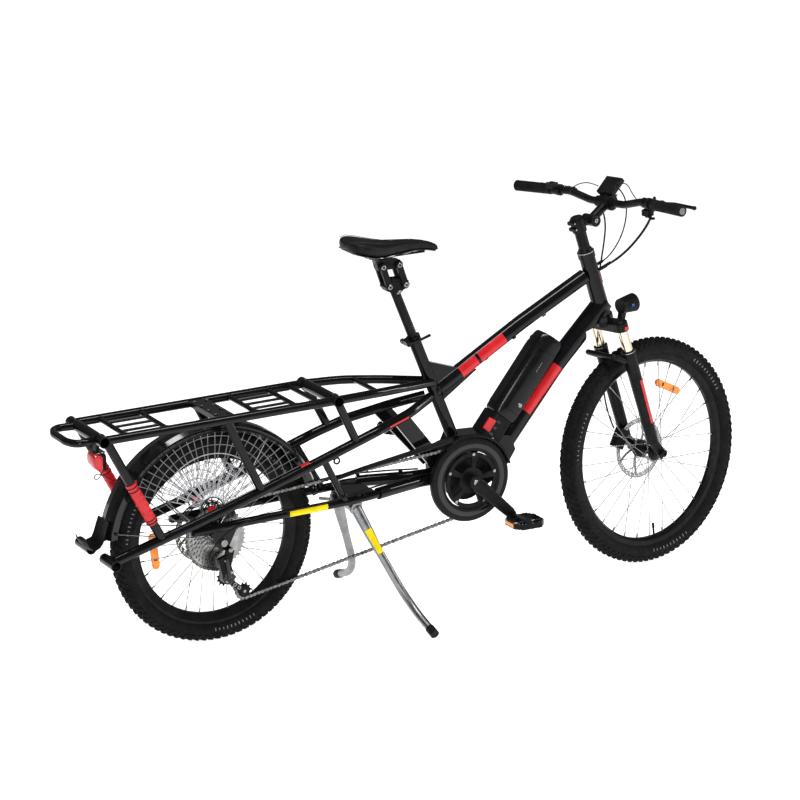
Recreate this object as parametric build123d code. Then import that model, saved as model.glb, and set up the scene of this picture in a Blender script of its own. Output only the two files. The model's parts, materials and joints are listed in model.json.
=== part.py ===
"""Longtail electric cargo bicycle, as separate pieces in one frame, in millimetres.

The model is drawn with X forward, Y to the rider's left, Z up and the ground under the rear axle at zero.
Each piece is then moved so that the origin is on the ground at the middle of the whole bicycle's outline.
"""

import os
from math import asin, atan2, cos, pi, radians, sin, tan

from build123d import *

# ---------------------------------------------------------------- driving dimensions
REAR_WHEEL_R = 304.0      # 24 inch tyre, outside
FRONT_WHEEL_R = 337.0     # 26 inch tyre, outside
REAR_RIM_SEAT = 253.5     # bead seat radius of a 507 mm rim
FRONT_RIM_SEAT = 279.5    # bead seat radius of a 559 mm rim
TYRE_SECTION_R = 29.5

HEAD_ANGLE = 73.0
STEER_REST = 12.0         # the bars stand turned a little to the left
FORK_OFFSET = 30.0        # dropouts ahead of the steering axis
LEG_OFFSET = 8.0          # stanchions ahead of the steering axis
LEG_SPREAD = 59.0         # stanchions from the mid-plane
STANCHION_R = 15.0
HEAD_LOW = Vector(1263, 0, 760)
HEAD_TUBE_LENGTH = 208.0

SEAT_ANGLE = 68.0
SEAT_REF = Vector(697, 0, 638)
SEAT_TUBE_R = 18.0
SEATPOST_R = 13.6

BB = Vector(786, 0, 361)  # crank axis
CRANK_LENGTH = 170.0
CRANK_REST = -44.0        # right arm, degrees above forward
CHAINRING_TEETH = 50
COG_TEETH = 44
PULLEY_TEETH = 11
CHAIN_PITCH = 12.7
RING_Y = -48.0
COG_Y = -29.0

TUBE_R = 12.5             # rack rails
SIDE_TUBE_R = 14.0
STAY_R = 12.0
STAY_FRONT_R = 17.0
RACK_Y = 100.0
SIDE_Y = 90.0
STAY_Y = 72.0

BAR_HALF = 350.0
BAR_R = 11.1
GRIP_R = 16.0
GRIP_LENGTH = 135.0

STAND_PIVOT = Vector(418, 0, 333)
STAND_FOOT = Vector(538, 283, 17.5)

# ---------------------------------------------------------------- derived places
steer_dir = Vector(-cos(radians(HEAD_ANGLE)), 0, sin(radians(HEAD_ANGLE)))
fork_ahead = Vector(sin(radians(HEAD_ANGLE)), 0, cos(radians(HEAD_ANGLE)))
HEAD_TOP = HEAD_LOW + steer_dir * HEAD_TUBE_LENGTH
STEER_AXIS = Axis(tuple(HEAD_LOW), tuple(steer_dir))


def on_steerer(height):
    """Point of the steering axis at a height above the ground."""
    return HEAD_LOW + steer_dir * ((height - HEAD_LOW.Z) / steer_dir.Z)


FRONT_AXLE = on_steerer(FRONT_WHEEL_R) + fork_ahead * FORK_OFFSET
FRONT_AXLE = Vector(FRONT_AXLE.X, 0, FRONT_WHEEL_R)
REAR_AXLE = Vector(0, 0, REAR_WHEEL_R)
seat_dir = Vector(-cos(radians(SEAT_ANGLE)), 0, sin(radians(SEAT_ANGLE)))


def on_seat_tube(height):
    """Point of the seat tube's axis at a height above the ground."""
    return SEAT_REF + seat_dir * ((height - SEAT_REF.Z) / seat_dir.Z)


# Middle of the outline: from the rack's rear bar to the front tyre, and between the two bar ends.
RACK_REAR_X = -452.0
MID_X = 0.5 * (RACK_REAR_X + 1753.0)
MID_Y = 21.0


# ---------------------------------------------------------------- helpers
def place(shape):
    """Moves a piece from the drawing frame to the part's own frame."""
    return shape.moved(Location((-MID_X, -MID_Y, 0)))


def steered(shape):
    """Turns a piece of the front end with the bars at rest."""
    return shape.rotate(STEER_AXIS, STEER_REST)


def group(*shapes):
    """One node of separate solids."""
    solids = []
    for shape in shapes:
        solids.extend(shape.solids())
    return Compound(solids)


def largest(shape):
    """The biggest solid that a cut has left."""
    return shape.solids().sort_by(SortBy.VOLUME)[-1]


def main_solids(shape, share=0.02):
    """The solids that a cut has left, without its crumbs."""
    solids = shape.solids()
    limit = share * max(solid.volume for solid in solids)
    return group(*[solid for solid in solids if solid.volume > limit])


def rod(a, b, r, r_end=None):
    """Round bar from a to b, tapered if r_end is given."""
    a, b = Vector(a), Vector(b)
    axis = b - a
    plane = Plane(origin=a, z_dir=axis)
    if r_end is None:
        return plane * Cylinder(r, axis.length, align=(Align.CENTER, Align.CENTER, Align.MIN))
    return plane * Cone(r, r_end, axis.length, align=(Align.CENTER, Align.CENTER, Align.MIN))


def pipe(a, b, r, wall=2.0):
    """Hollow round tube from a to b, open at both ends."""
    return rod(a, b, r) - rod(a, b, r - wall)


def side_plane(y):
    """Plane of the sides: local x is X, local y is Z, and the normal points to -Y."""
    return Plane(origin=(0, y, 0), x_dir=(1, 0, 0), z_dir=(0, -1, 0))


def plate(points, y_high, y_low):
    """Flat plate with an outline of (x, z) points between two values of Y."""
    outline = make_face(Polyline(*points, close=True))
    return extrude(side_plane(y_high) * outline, amount=y_high - y_low)


def disc(centre, r, y_high, y_low, r_in=0.0):
    """Round disc or ring about a Y axis."""
    high = Vector(centre.X, y_high, centre.Z)
    low = Vector(centre.X, y_low, centre.Z)
    body = rod(high, low, r)
    if r_in > 0:
        body = body - rod(high, low, r_in)
    return body


def bent_tube(points, radii, r, wall=0.0):
    """Tube along straight runs joined by tangent arcs."""
    path = FilletPolyline(*points, radius=radii)
    start = Plane(origin=path @ 0, z_dir=path % 0)
    section = start * Circle(r)
    if wall > 0:
        section = section - start * Circle(r - wall)
    return sweep(section, path=path)


def cable(name, points, diameter):
    """Flexible line whose every arc is as large as its two runs allow."""
    route = [Vector(p) for p in points]
    radii = []
    for before, here, after in zip(route, route[1:], route[2:]):
        run_in, run_out = here - before, after - here
        turn = radians(run_in.get_angle(run_out))
        radii.append(0.45 * min(run_in.length, run_out.length) / tan(turn / 2))
    print(name, "arc radii", [round(r, 1) for r in radii])
    return bent_tube(points, radii, diameter / 2)


def turned(points, centre):
    """Solid of revolution about the Y axis through centre, from (radius, y) points."""
    profile = make_face(Polyline(*points, close=True))
    return Pos(*centre) * revolve(profile, Axis.Y)


def aligned_box(centre, long_dir, length, width_y, thick):
    """Box with its length along a direction in the XZ plane."""
    plane = Plane(origin=centre, x_dir=long_dir, z_dir=Vector(0, 1, 0))
    return plane * Box(length, thick, width_y)


# ---------------------------------------------------------------- wheels
def tyre(axle, outer_r, seat_r):
    """Hollow casing with a knobby-tyre outline, open towards the rim."""
    middle = Pos(outer_r - TYRE_SECTION_R, 0)
    casing = middle * Circle(TYRE_SECTION_R) - middle * Circle(TYRE_SECTION_R - 4)
    rim_room = Pos(seat_r - 12, 0) * Rectangle(38, 31)
    return Pos(*axle) * revolve(casing - rim_room, Axis.Y)


def rim(axle, seat_r, depth):
    """Double-wall rim as one closed ring: a V below the bead seats and a flange each side."""
    top = seat_r + 6
    inner = seat_r - depth
    points = [
        (inner, -6), (seat_r - 8, -15), (top, -15), (top, -12.5), (seat_r, -12.5), (seat_r - 2, -8),
        (seat_r - 2, 8), (seat_r, 12.5), (top, 12.5), (top, 15), (seat_r - 8, 15), (inner, 6),
    ]
    return turned(points, axle)


def spokes(axle, rim_r, flange_r, left_y, right_y, count=32):
    """Crossed spokes from both hub flanges to the rim."""
    lines = []
    for i in range(count):
        rim_angle = 2 * pi * i / count
        lean = radians(68) if (i // 2) % 2 == 0 else -radians(68)
        flange_y = left_y if i % 2 == 0 else right_y
        hub = Vector(flange_r * cos(rim_angle + lean), flange_y, flange_r * sin(rim_angle + lean))
        end = Vector(rim_r * cos(rim_angle), 0.04 * flange_y, rim_r * sin(rim_angle))
        lines.append(rod(axle + hub, axle + end, 1.1))
    return group(*lines)


def hub(axle, half_width, flange_r, flange_left, flange_right, shell_r, bore_r):
    """Hub shell with two flanges, bored for its axle, and the brake rotor bolted on its left end."""
    points = [
        (bore_r, -half_width), (shell_r - 3, -half_width), (shell_r - 3, flange_right - 2),
        (flange_r, flange_right - 2), (flange_r, flange_right + 2), (shell_r, flange_right + 4),
        (shell_r, flange_left - 4), (flange_r, flange_left - 2), (flange_r, flange_left + 2),
        (shell_r, flange_left + 2), (shell_r, half_width), (bore_r, half_width),
    ]
    return turned(points, axle)


def rotor(axle, y, r):
    """Brake disc on a six-arm carrier."""
    track = disc(axle, r, y + 1, y - 1, r - 14)
    centre = disc(axle, 24, y + 1, y - 1, 19.3)
    arms = Part()
    for i in range(6):
        a = radians(60 * i)
        inner = axle + Vector(22 * cos(a), y, 22 * sin(a))
        outer = axle + Vector((r - 10) * cos(a + 0.35), y, (r - 10) * sin(a + 0.35))
        arms = arms + aligned_box((inner + outer) * 0.5, outer - inner, (outer - inner).length, 1.9, 8)
    return track + centre + arms


REAR_FLANGES = (30.0, -16.0)
FRONT_FLANGES = (24.0, -32.0)
REAR_ROTOR_Y = 47.0
FRONT_ROTOR_Y = 37.0
ROTOR_R = 90.0
AXLE_R = 5.0
HUB_BORE_R = 5.05


def rear_tyre():
    return tyre(REAR_AXLE, REAR_WHEEL_R, REAR_RIM_SEAT)


def rear_rim():
    return rim(REAR_AXLE, REAR_RIM_SEAT, 31)


def rear_spokes():
    return spokes(REAR_AXLE, REAR_RIM_SEAT - 31.3, 27.5, *REAR_FLANGES)


def rear_hub():
    """Rear hub shell, short on the drive side for the freehub, with its brake disc."""
    body = hub(REAR_AXLE, 50, 26.5, *REAR_FLANGES, 19, HUB_BORE_R)
    body = body - disc(REAR_AXLE, 40, -18.5, -60) + disc(REAR_AXLE, 22, 49.8, 40, HUB_BORE_R)
    return body + rotor(REAR_AXLE, REAR_ROTOR_Y, ROTOR_R)


def front_tyre():
    return steered(tyre(FRONT_AXLE, FRONT_WHEEL_R, FRONT_RIM_SEAT))


def front_rim():
    return steered(rim(FRONT_AXLE, FRONT_RIM_SEAT, 16))


def front_spokes():
    return steered(spokes(FRONT_AXLE, FRONT_RIM_SEAT - 16.3, 27.5, *FRONT_FLANGES))


def front_hub():
    """Front hub shell with its brake disc."""
    body = hub(FRONT_AXLE, 48, 26.5, *FRONT_FLANGES, 19, HUB_BORE_R)
    body = body + disc(FRONT_AXLE, 22, 40, 30, HUB_BORE_R)
    return steered(body + rotor(FRONT_AXLE, FRONT_ROTOR_Y, ROTOR_R))


# ---------------------------------------------------------------- main frame
def steerer_room():
    return rod(on_steerer(700), on_steerer(1010), 14.35)


def head_shell():
    """Outside of the head tube, used to trim the tubes that meet it."""
    return rod(HEAD_LOW, HEAD_TOP, 25, 23)


def head_outline():
    """Head tube and its headset cups as one solid, with the room under it for the crown."""
    cup_low = rod(HEAD_LOW - steer_dir * 2, HEAD_LOW + steer_dir * 12, 28)
    cup_high = rod(HEAD_TOP - steer_dir * 10, HEAD_TOP + steer_dir * 6, 25.5)
    return head_shell() + cup_low + cup_high


def head_tube():
    """Head tube with its pressed headset cups."""
    hollow = rod(HEAD_LOW + steer_dir * 14, HEAD_TOP - steer_dir * 14, 20)
    return head_outline() - hollow - steerer_room()


SEAT_TUBE_TOP = on_seat_tube(772)
SEAT_TUBE_LOW = on_seat_tube(447)


def seat_shell():
    return rod(SEAT_TUBE_LOW, SEAT_TUBE_TOP, SEAT_TUBE_R)


TOP_TUBE = [Vector(1196, 0, 893), Vector(985, 0, 783), Vector(690, 0, 612)]
DOWN_TUBE = [Vector(1262, 0, 812), Vector(1100, 0, 646), Vector(900, 0, 400)]


def on_xz(point):
    """The (x, z) pair of a point."""
    return (point.X, point.Z)


def top_tube():
    """Swept-down top tube with a deep web where it meets the seat tube."""
    tube = bent_tube(TOP_TUBE, [500], 22)
    web = plate([(668, 716), (790, 676), (836, 668), (716, 585)], 11, -11)
    end_room = rod(SEAT_TUBE_LOW, SEAT_TUBE_TOP + seat_dir * 5, SEAT_TUBE_R)
    behind = plate([(560, 560), (560, 900), on_xz(on_seat_tube(900)), on_xz(on_seat_tube(560))], 60, -60)
    solid = (tube + web) - end_room - behind - head_outline()
    return largest(solid)


def down_shell():
    """Down tube before it is trimmed."""
    plane = Plane(origin=DOWN_TUBE[0], z_dir=DOWN_TUBE[1] - DOWN_TUBE[0])
    return sweep(plane * Ellipse(30, 27), path=FilletPolyline(*DOWN_TUBE, radius=[600]))


def down_tube():
    """Deep down tube from the head tube to the motor cradle."""
    return largest(down_shell() - head_outline() - cradle_shell() - crown_room())


def crown_room():
    """Space in which the crown turns under the head tube."""
    return rod(on_steerer(690), on_steerer(758), 84)


CRADLE = [(735, 452), (752, 488), (840, 484), (935, 462), (950, 420), (905, 352), (890, 400), (830, 430),
          (760, 432), (722, 410), (712, 350), (694, 350), (690, 425)]


def cradle_shell():
    """Bridge over the motor that ties the seat tube, the down tube and the stays."""
    return plate(CRADLE, 34, -34)


def seat_tube():
    """Seat tube welded on the motor bridge, with the clamp collar on its top."""
    tube = rod(SEAT_TUBE_LOW, SEAT_TUBE_TOP, SEAT_TUBE_R) + cradle_shell()
    tube = tube - rod(on_seat_tube(500), on_seat_tube(800), SEATPOST_R + 0.05)
    return group(tube, seat_collar())


COLLAR_LOW = on_seat_tube(773.5)
COLLAR_TOP = on_seat_tube(790)


def seat_collar():
    """Clamp ring round the seatpost with two lugs at the back."""
    ring = rod(COLLAR_LOW, COLLAR_TOP, 21)
    lugs = aligned_box((COLLAR_LOW + COLLAR_TOP) * 0.5 - fork_ahead * 24, seat_dir, 15, 26, 14)
    slit = aligned_box((COLLAR_LOW + COLLAR_TOP) * 0.5 - fork_ahead * 24, seat_dir, 30, 2, 24)
    return ring + lugs - rod(on_seat_tube(760), on_seat_tube(800), SEATPOST_R + 0.05) - slit


COLLAR_PIN = (COLLAR_LOW + COLLAR_TOP) * 0.5 - fork_ahead * 27


LEVER_HINGE = COLLAR_PIN + Vector(0, -19, 0)


def seat_lever():
    """Quick-release lever of the seat collar, lying along its right side."""
    cam = rod(LEVER_HINGE - seat_dir * 6.5, LEVER_HINGE + seat_dir * 6.5, 5.5)
    elbow = LEVER_HINGE + Vector(13, -7, 3)
    tip = LEVER_HINGE + Vector(64, -8, 20)
    return cam + rod(LEVER_HINGE, elbow, 3.5) + Pos(*elbow) * Sphere(3.6) + rod(elbow, tip, 3.4, 4.4)


# ---------------------------------------------------------------- cargo frame
def side_route(side):
    """Long tube beside the rear wheel, from the seat tube to the rear foot tube."""
    return [
        Vector(682, 14 * side, 608), Vector(596, 55 * side, 584), Vector(469, 84 * side, 553),
        Vector(372, SIDE_Y * side, 524), Vector(139, SIDE_Y * side, 447), Vector(-75, SIDE_Y * side, 380),
        Vector(-330, SIDE_Y * side, 309),
    ]


SIDE_RADII = [250, 250, 400, 700, 900]
FOOT_X, FOOT_Z = -342.0, 306.0


def side_tube_shell(side):
    return bent_tube(side_route(side), SIDE_RADII, SIDE_TUBE_R)


def foot_tube(side):
    """Short open cross tube at the rear end of a side tube."""
    return pipe((FOOT_X, 44 * side, FOOT_Z), (FOOT_X, 126 * side, FOOT_Z), 15, 2.5)


def foot_shell(side):
    return rod((FOOT_X, 44 * side, FOOT_Z), (FOOT_X, 126 * side, FOOT_Z), 15)


def side_tubes():
    """Both long side tubes with the open cross tubes at their rear ends."""
    pieces = []
    for side in (1, -1):
        tube = bent_tube(side_route(side), SIDE_RADII, SIDE_TUBE_R, 2.5)
        solid = largest(tube - seat_shell() - foot_shell(side))
        pieces.append(solid + foot_tube(side))
    return group(*pieces)


def stay_route(side):
    return [
        Vector(716, 22 * side, 368), Vector(640, 26 * side, 368), Vector(520, 58 * side, 368),
        Vector(455, STAY_Y * side, 366), Vector(385, STAY_Y * side, 361), Vector(70, STAY_Y * side, 352),
        Vector(-90, STAY_Y * side, 345),
    ]


STAY_RADII = [120, 120, 120, 120, 900]


def stay_shell(side):
    """Outside of a chainstay, with its stouter front part."""
    front = bent_tube(stay_route(side)[:3] + [Vector(486, 66 * side, 367)], STAY_RADII[:2], STAY_FRONT_R)
    return bent_tube(stay_route(side), STAY_RADII, STAY_R) + front


DROPOUT = [(-96, 352), (-96, 338), (-34, 330), (-18, 292), (10, 280), (22, 300), (40, 336), (60, 345),
           (60, 358)]


def chainstays():
    """Both chainstays with plate dropouts that hold the rear axle."""
    pieces = []
    for side in (1, -1):
        tube = stay_shell(side) - cradle_shell()
        drop = plate(DROPOUT, STAY_Y * side + 4, STAY_Y * side - 4)
        drop = drop - disc(REAR_AXLE, HUB_BORE_R, 100, -100)
        pieces.append(largest(tube) + drop)
    return group(*pieces, stand_plate())


def rear_axle():
    """Through-axle of the rear wheel, with a nut at each end."""
    bar = disc(REAR_AXLE, AXLE_R, 84, -84)
    nuts = disc(REAR_AXLE, 10, 84, STAY_Y + 4.2, 0) + disc(REAR_AXLE, 10, -STAY_Y - 4.2, -84, 0)
    return bar + nuts


def stand_plate():
    """Cross plate between the stays that carries the stand."""
    plate_top = Pos(436, 0, 372) * Box(86, 2 * (STAY_Y - STAY_R) - 1, 8)
    hanger = Pos(STAND_PIVOT.X, 0, 354) * Box(44, 96, 28)
    return plate_top + hanger - disc(STAND_PIVOT, 14.05, 60, -60)


def rail_route(side):
    return [
        Vector(-372, RACK_Y * side, 655), Vector(342, RACK_Y * side, 668), Vector(455, 88 * side, 667),
        Vector(565, 56 * side, 660), Vector(688, 14 * side, 650),
    ]


RAIL_RADII = [500, 400, 600]


def rail_shell(side):
    return bent_tube(rail_route(side), RAIL_RADII, TUBE_R)


def rack_rails():
    """Two long rack rails that close in on the seat tube."""
    pieces = []
    for side in (1, -1):
        tube = bent_tube(rail_route(side), RAIL_RADII, TUBE_R, 2.5)
        pieces.append(main_solids(tube - seat_shell() - rear_socket_shell() - front_socket_shell()))
    return group(*pieces)


SOCKET_R = 16.0
SOCKET_BORE_R = 13.2
REAR_SOCKET_X, REAR_SOCKET_Z = -360.0, 655.0
FRONT_SOCKET_X, FRONT_SOCKET_Z = 342.0, 668.0
SOCKET_HALF = 117.0


def socket_shell(x, z):
    return rod((x, -SOCKET_HALF, z), (x, SOCKET_HALF, z), SOCKET_R)


def rear_socket_shell():
    return socket_shell(REAR_SOCKET_X, REAR_SOCKET_Z)


def front_socket_shell():
    return socket_shell(FRONT_SOCKET_X, FRONT_SOCKET_Z)


def rail_z(x):
    """Height of the rails' centre line over their straight part."""
    return 655 + (668 - 655) * (x + 372) / (342 + 372)


CROSS_BARS = (-285, -165, 105, 225, 292)
PLATE_X = 8.0


def rack_sockets():
    """Two thick cross tubes, open at both ends, that take accessory bars."""
    pieces = []
    for x, z in ((REAR_SOCKET_X, REAR_SOCKET_Z), (FRONT_SOCKET_X, FRONT_SOCKET_Z)):
        bore = rod((x, -SOCKET_HALF - 1, z), (x, SOCKET_HALF + 1, z), SOCKET_BORE_R)
        pieces.append(socket_shell(x, z) - bore)
    return group(*pieces)


def rack_deck():
    """Rails, socket tubes, cross bars and rear bumper of the deck."""
    return group(rack_rails(), rack_sockets(), rack_crossbars(), rack_bumper())


def rack_crossbars():
    """Thin cross bars, the wide middle plate and the short lengthwise rods of the deck."""
    rails = rail_shell(1) + rail_shell(-1)
    bars = []
    for x in CROSS_BARS:
        bars.append(rod((x, -RACK_Y, rail_z(x) + 1), (x, RACK_Y, rail_z(x) + 1), 7))
    bars.append(rod((484, -82, 667), (484, 82, 667), 7))
    bars.append(Pos(PLATE_X, 0, rail_z(PLATE_X) + 2) * Box(56, 2 * RACK_Y, 14))
    trimmed = [largest(bar - rails) for bar in bars]
    rods = []
    for start, end in ((-278.3, -171.7), (111.7, 218.3)):
        for y in (-45, 0, 45):
            rods.append(rod((start, y, rail_z(start) + 1), (end, y, rail_z(end) + 1), 4))
    return group(*trimmed, *rods)


def rack_bumper():
    """Bent tube behind the rack that serves as a lifting handle."""
    points = [
        Vector(-360, 70, 655), Vector(-425, 88, 652), Vector(-441, 40, 651), Vector(-441, -40, 651),
        Vector(-425, -88, 652), Vector(-360, -70, 655),
    ]
    tube = bent_tube(points, [30, 40, 40, 30], 11)
    return largest(tube - rear_socket_shell())


STRUTS = (
    ((347, 100, 662), (408, 88, 538), 12.0),
    ((6, 100, 660), (112, SIDE_Y, 442), 12.0),
    ((-350, 100, 655), (-190, SIDE_Y, 350), 13.0),
    ((304, SIDE_Y, 502), (380, STAY_Y, 362), 10.0),
)
BRACE_TOP = Vector(562, 62, 575)
BRACE_LOW = Vector(697, 26, 414)
BRACE_SIZE = (46.0, 12.0)
CHAIN_NOTCH = ((644.0, -50.0, 446.0), (70.0, 19.4, 30.0))


def brace_shell(side):
    """Flat brace from a side tube down to the motor bridge."""
    top = Vector(BRACE_TOP.X, BRACE_TOP.Y * side, BRACE_TOP.Z)
    low = Vector(BRACE_LOW.X, BRACE_LOW.Y * side, BRACE_LOW.Z)
    span = low - top
    across = Vector(0, 1, 0) - span * (span.Y / span.length**2)
    return Plane(origin=(top + low) * 0.5, x_dir=span, z_dir=across) * Box(span.length, *BRACE_SIZE)


def rack_struts():
    """Side struts of the rack, lower struts to the stays and the flat braces to the motor cradle."""
    chain_notch = Pos(*CHAIN_NOTCH[0]) * Box(*CHAIN_NOTCH[1])
    pieces = []
    for side in (1, -1):
        keep_off = side_tube_shell(side) + stay_shell(side) + rail_shell(side)
        keep_off = keep_off + rear_socket_shell() + front_socket_shell()
        for top, low, r in STRUTS:
            a = Vector(top[0], top[1] * side, top[2])
            b = Vector(low[0], low[1] * side, low[2])
            bar = pipe(a, b, r, 2.0) - keep_off
            pieces.append(largest(bar))
        pieces.append(largest(brace_shell(side) - keep_off - cradle_shell() - chain_notch))
    return group(*pieces)


# ---------------------------------------------------------------- rear mudguard, guards and light
FENDER_R = 333.0


def rear_fender():
    """Deep mudguard over the rear tyre, one band of constant section."""
    outer = [(306, 41), (322, 40), (330, 26), (FENDER_R, 0), (330, -26), (322, -40), (306, -41)]
    inner = [(306, -38.5), (320.5, -37.5), (327.5, -25), (330.5, 0), (327.5, 25), (320.5, 37.5), (306, 38.5)]
    profile = make_face(Polyline(*outer, *inner, close=True))
    band = revolve(profile, Axis.Y, revolution_arc=157)
    notch = Pos(312, -38, 412) * Box(60, 40, 34)
    return Pos(*REAR_AXLE) * (Rot(0, -172, 0) * band) - notch


def mudflap():
    """Rubber flap hanging from the rear end of the mudguard."""
    points = [(-333, 362), (-338, 330), (-352, 322), (-388, 340), (-390, 336), (-352, 316), (-333, 318),
              (-328, 345)]
    return plate(points, 34, -34) - foot_shell(1) - foot_shell(-1)


GUARD_Y = 54.0
NET_CENTRE = Vector(14, 0, 414)


def dress_guards():
    """Net panels over both sides of the upper rear wheel, gathered at a point above the hub."""
    pieces = []
    for side in (1, -1):
        face = disc(REAR_AXLE, 318, GUARD_Y * side + 1, GUARD_Y * side - 1, 0)
        gather = disc(NET_CENTRE, 34, GUARD_Y * side + 2, GUARD_Y * side - 2, 0)
        corners = [(NET_CENTRE.X, NET_CENTRE.Z), (330, 500), (330, 700), (-400, 700), (-400, 520)]
        pieces.append((face & plate(corners, 60, -60)) - gather)
    return group(*pieces)


def tail_light():
    """Rear lamp housing with its lens, between the rear struts."""
    housing = plate([(-352, 590), (-316, 590), (-296, 548), (-320, 536), (-352, 566)], 32, -32)
    arm = plate([(-352, 652), (-338, 652), (-325, 590), (-335, 588)], 12, -12)
    return housing + arm - rear_socket_shell()


# ---------------------------------------------------------------- drive
def motor():
    """Mid-drive unit under the cradle, bored for the crank spindle."""
    drum = disc(BB, 66, 40, -36)
    nose = plate([(800, 300), (888, 345), (900, 360), (885, 392), (826, 424), (770, 424)], 36, -34)
    pod = plate([(812, 300), (880, 318), (900, 356), (868, 392), (800, 400)], 46, 36)
    return (drum + nose + pod) - cradle_shell() - disc(BB, 12.1, 60, -60)


RING_PITCH_R = CHAIN_PITCH / (2 * sin(pi / CHAINRING_TEETH))
COG_PITCH_R = CHAIN_PITCH / (2 * sin(pi / COG_TEETH))
PULLEY_PITCH_R = CHAIN_PITCH / (2 * sin(pi / PULLEY_TEETH))
GUARD_RING = (116.0, 125.0)


def chain_guard():
    """Guard ring beside the chainring, with a bar along the upper chain run."""
    ring = disc(BB, GUARD_RING[1], -43, -64, GUARD_RING[0])
    face = disc(BB, GUARD_RING[1], -60, -64, 84)
    gap = plate([(640, 200), (640, 330), (700, 330), (760, 290), (800, 200)], -30, -60)
    gap = gap + plate([(640, 420), (640, 500), (762, 500), (762, 420)], -30, -60)
    bar = plate([(352, 425), (356, 438), (560, 468), (790, 486), (790, 478), (600, 453)], -60, -68)
    tab = plate([(352, 425), (356, 438), (376, 442), (372, 428)], -60, -84)
    mount = Pos(786, -47.2, 479) * Box(40, 26, 10)
    whole = (ring + face) - gap + bar + tab + mount
    return whole - lower_strut_shell()


def lower_strut_shell():
    """Outside of the right lower strut, which the end of the guard bar rests on."""
    top, low, r = STRUTS[3]
    return rod((top[0], -top[1], top[2]), (low[0], -low[1], low[2]), r)


def toothed(centre, pitch_r, teeth, y, thick):
    """Sprocket plate with pointed teeth."""
    points = []
    for i in range(teeth):
        for share, r in ((0.0, pitch_r + 3.2), (0.32, pitch_r - 3.4), (0.68, pitch_r - 3.4)):
            a = 2 * pi * (i + share) / teeth
            points.append((centre.X + r * cos(a), centre.Z + r * sin(a)))
    return plate(points, y + thick / 2, y - thick / 2)


def arm_end(angle):
    return BB + Vector(CRANK_LENGTH * cos(radians(angle)), 0, CRANK_LENGTH * sin(radians(angle)))


def crank_arm(angle, side):
    """Crank arm from the spindle to the pedal eye."""
    eye = arm_end(angle)
    face = 82.0 * side
    boss = disc(BB, 19, max(face, face + 14 * side), min(face, face + 14 * side))
    tip_y = 92.0 * side
    tip = disc(eye, 14, max(tip_y, tip_y + 13 * side), min(tip_y, tip_y + 13 * side))
    start = BB + Vector(0, face + 7 * side, 0)
    end = Vector(eye.X, tip_y + 6.5 * side, eye.Z)
    return boss + tip + rod(start, end, 8.5, 7.5)


def crankset():
    """Spindle, both arms and the black spider disc."""
    spindle = disc(BB, 12.0, 82, -96)
    left = crank_arm(CRANK_REST + 180, 1)
    right = crank_arm(CRANK_REST, -1)
    spider = disc(BB, 82, -64.5, -70) + disc(BB, 30, -52, -83)
    eyes = disc(arm_end(CRANK_REST), 7.05, 0, -130) + disc(arm_end(CRANK_REST + 180), 7.05, 130, 0)
    return spindle + left + right + spider - eyes + chainring()


def chainring():
    """Toothed ring bolted behind the spider."""
    ring = toothed(BB, RING_PITCH_R, CHAINRING_TEETH, RING_Y, 1.8)
    return ring - disc(BB, 28.0, RING_Y + 5, RING_Y - 5) + disc(BB, 36, RING_Y - 0.9, -52, 28)


def pedal(angle, side):
    """Cage pedal on its own axle, bearing in the crank's eye."""
    eye = arm_end(angle)
    start, length = 105.3 * side, 96.0
    axle = disc(eye, 7.0, max(92 * side, start + 14 * side), min(92 * side, start + 14 * side))
    mid = Vector(eye.X, start + (8 + length / 2) * side, eye.Z)
    cage = Box(98, length, 20) - Box(74, length - 20, 30)
    core = Box(30, length - 10, 18)
    return axle + Pos(*mid) * (cage + core)


def right_pedal():
    return pedal(CRANK_REST, -1)


def left_pedal():
    return pedal(CRANK_REST + 180, 1)


COGS = (44, 38, 33, 29, 25, 22, 19, 17, 15, 13, 11)
COG_STEP = 3.5


def cassette():
    """Stack of cogs on the freehub body."""
    stack = disc(REAR_AXLE, 17.5, -19, -64, HUB_BORE_R)
    for i, teeth in enumerate(COGS):
        r = CHAIN_PITCH / (2 * sin(pi / teeth))
        stack = stack + toothed(REAR_AXLE, r, teeth, COG_Y - COG_STEP * i, 1.6)
    return stack - disc(REAR_AXLE, HUB_BORE_R, 0, -80)


UPPER_PULLEY = Vector(22, COG_Y, 185)
LOWER_PULLEY = Vector(80, COG_Y, 138)


def tangent(c1, r1, c2, r2, over):
    """Outer tangent from wheel c1 to wheel c2, on top (over=1) or underneath (over=-1)."""
    span = Vector(c2.X - c1.X, 0, c2.Z - c1.Z)
    base = atan2(span.Z, span.X)
    lift = asin((r1 - r2) / span.length)
    a = base + over * (pi / 2 - lift)
    p1 = Vector(c1.X + r1 * cos(a), c1.Y, c1.Z + r1 * sin(a))
    p2 = Vector(c2.X + r2 * cos(a), c2.Y, c2.Z + r2 * sin(a))
    return p1, p2, a


RING_CENTRE = Vector(BB.X, RING_Y, BB.Z)
COG_CENTRE = Vector(0, COG_Y, REAR_WHEEL_R)
CHAIN_HALF = 4.0
CHAIN_PLATE_Y = 2.4


def chain_run(p1, p2):
    """Straight chain run as two side plates."""
    middle, span = (p1 + p2) * 0.5, p2 - p1
    across = Vector(0, 1, 0) - span * (span.Y / span.length**2)
    run = []
    for offset in (-CHAIN_PLATE_Y, CHAIN_PLATE_Y):
        flat = Plane(origin=middle + Vector(0, offset, 0), x_dir=span, z_dir=across)
        run.append(flat * Box(span.length - 2, 2 * CHAIN_HALF, 1.2))
    return run


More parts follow.
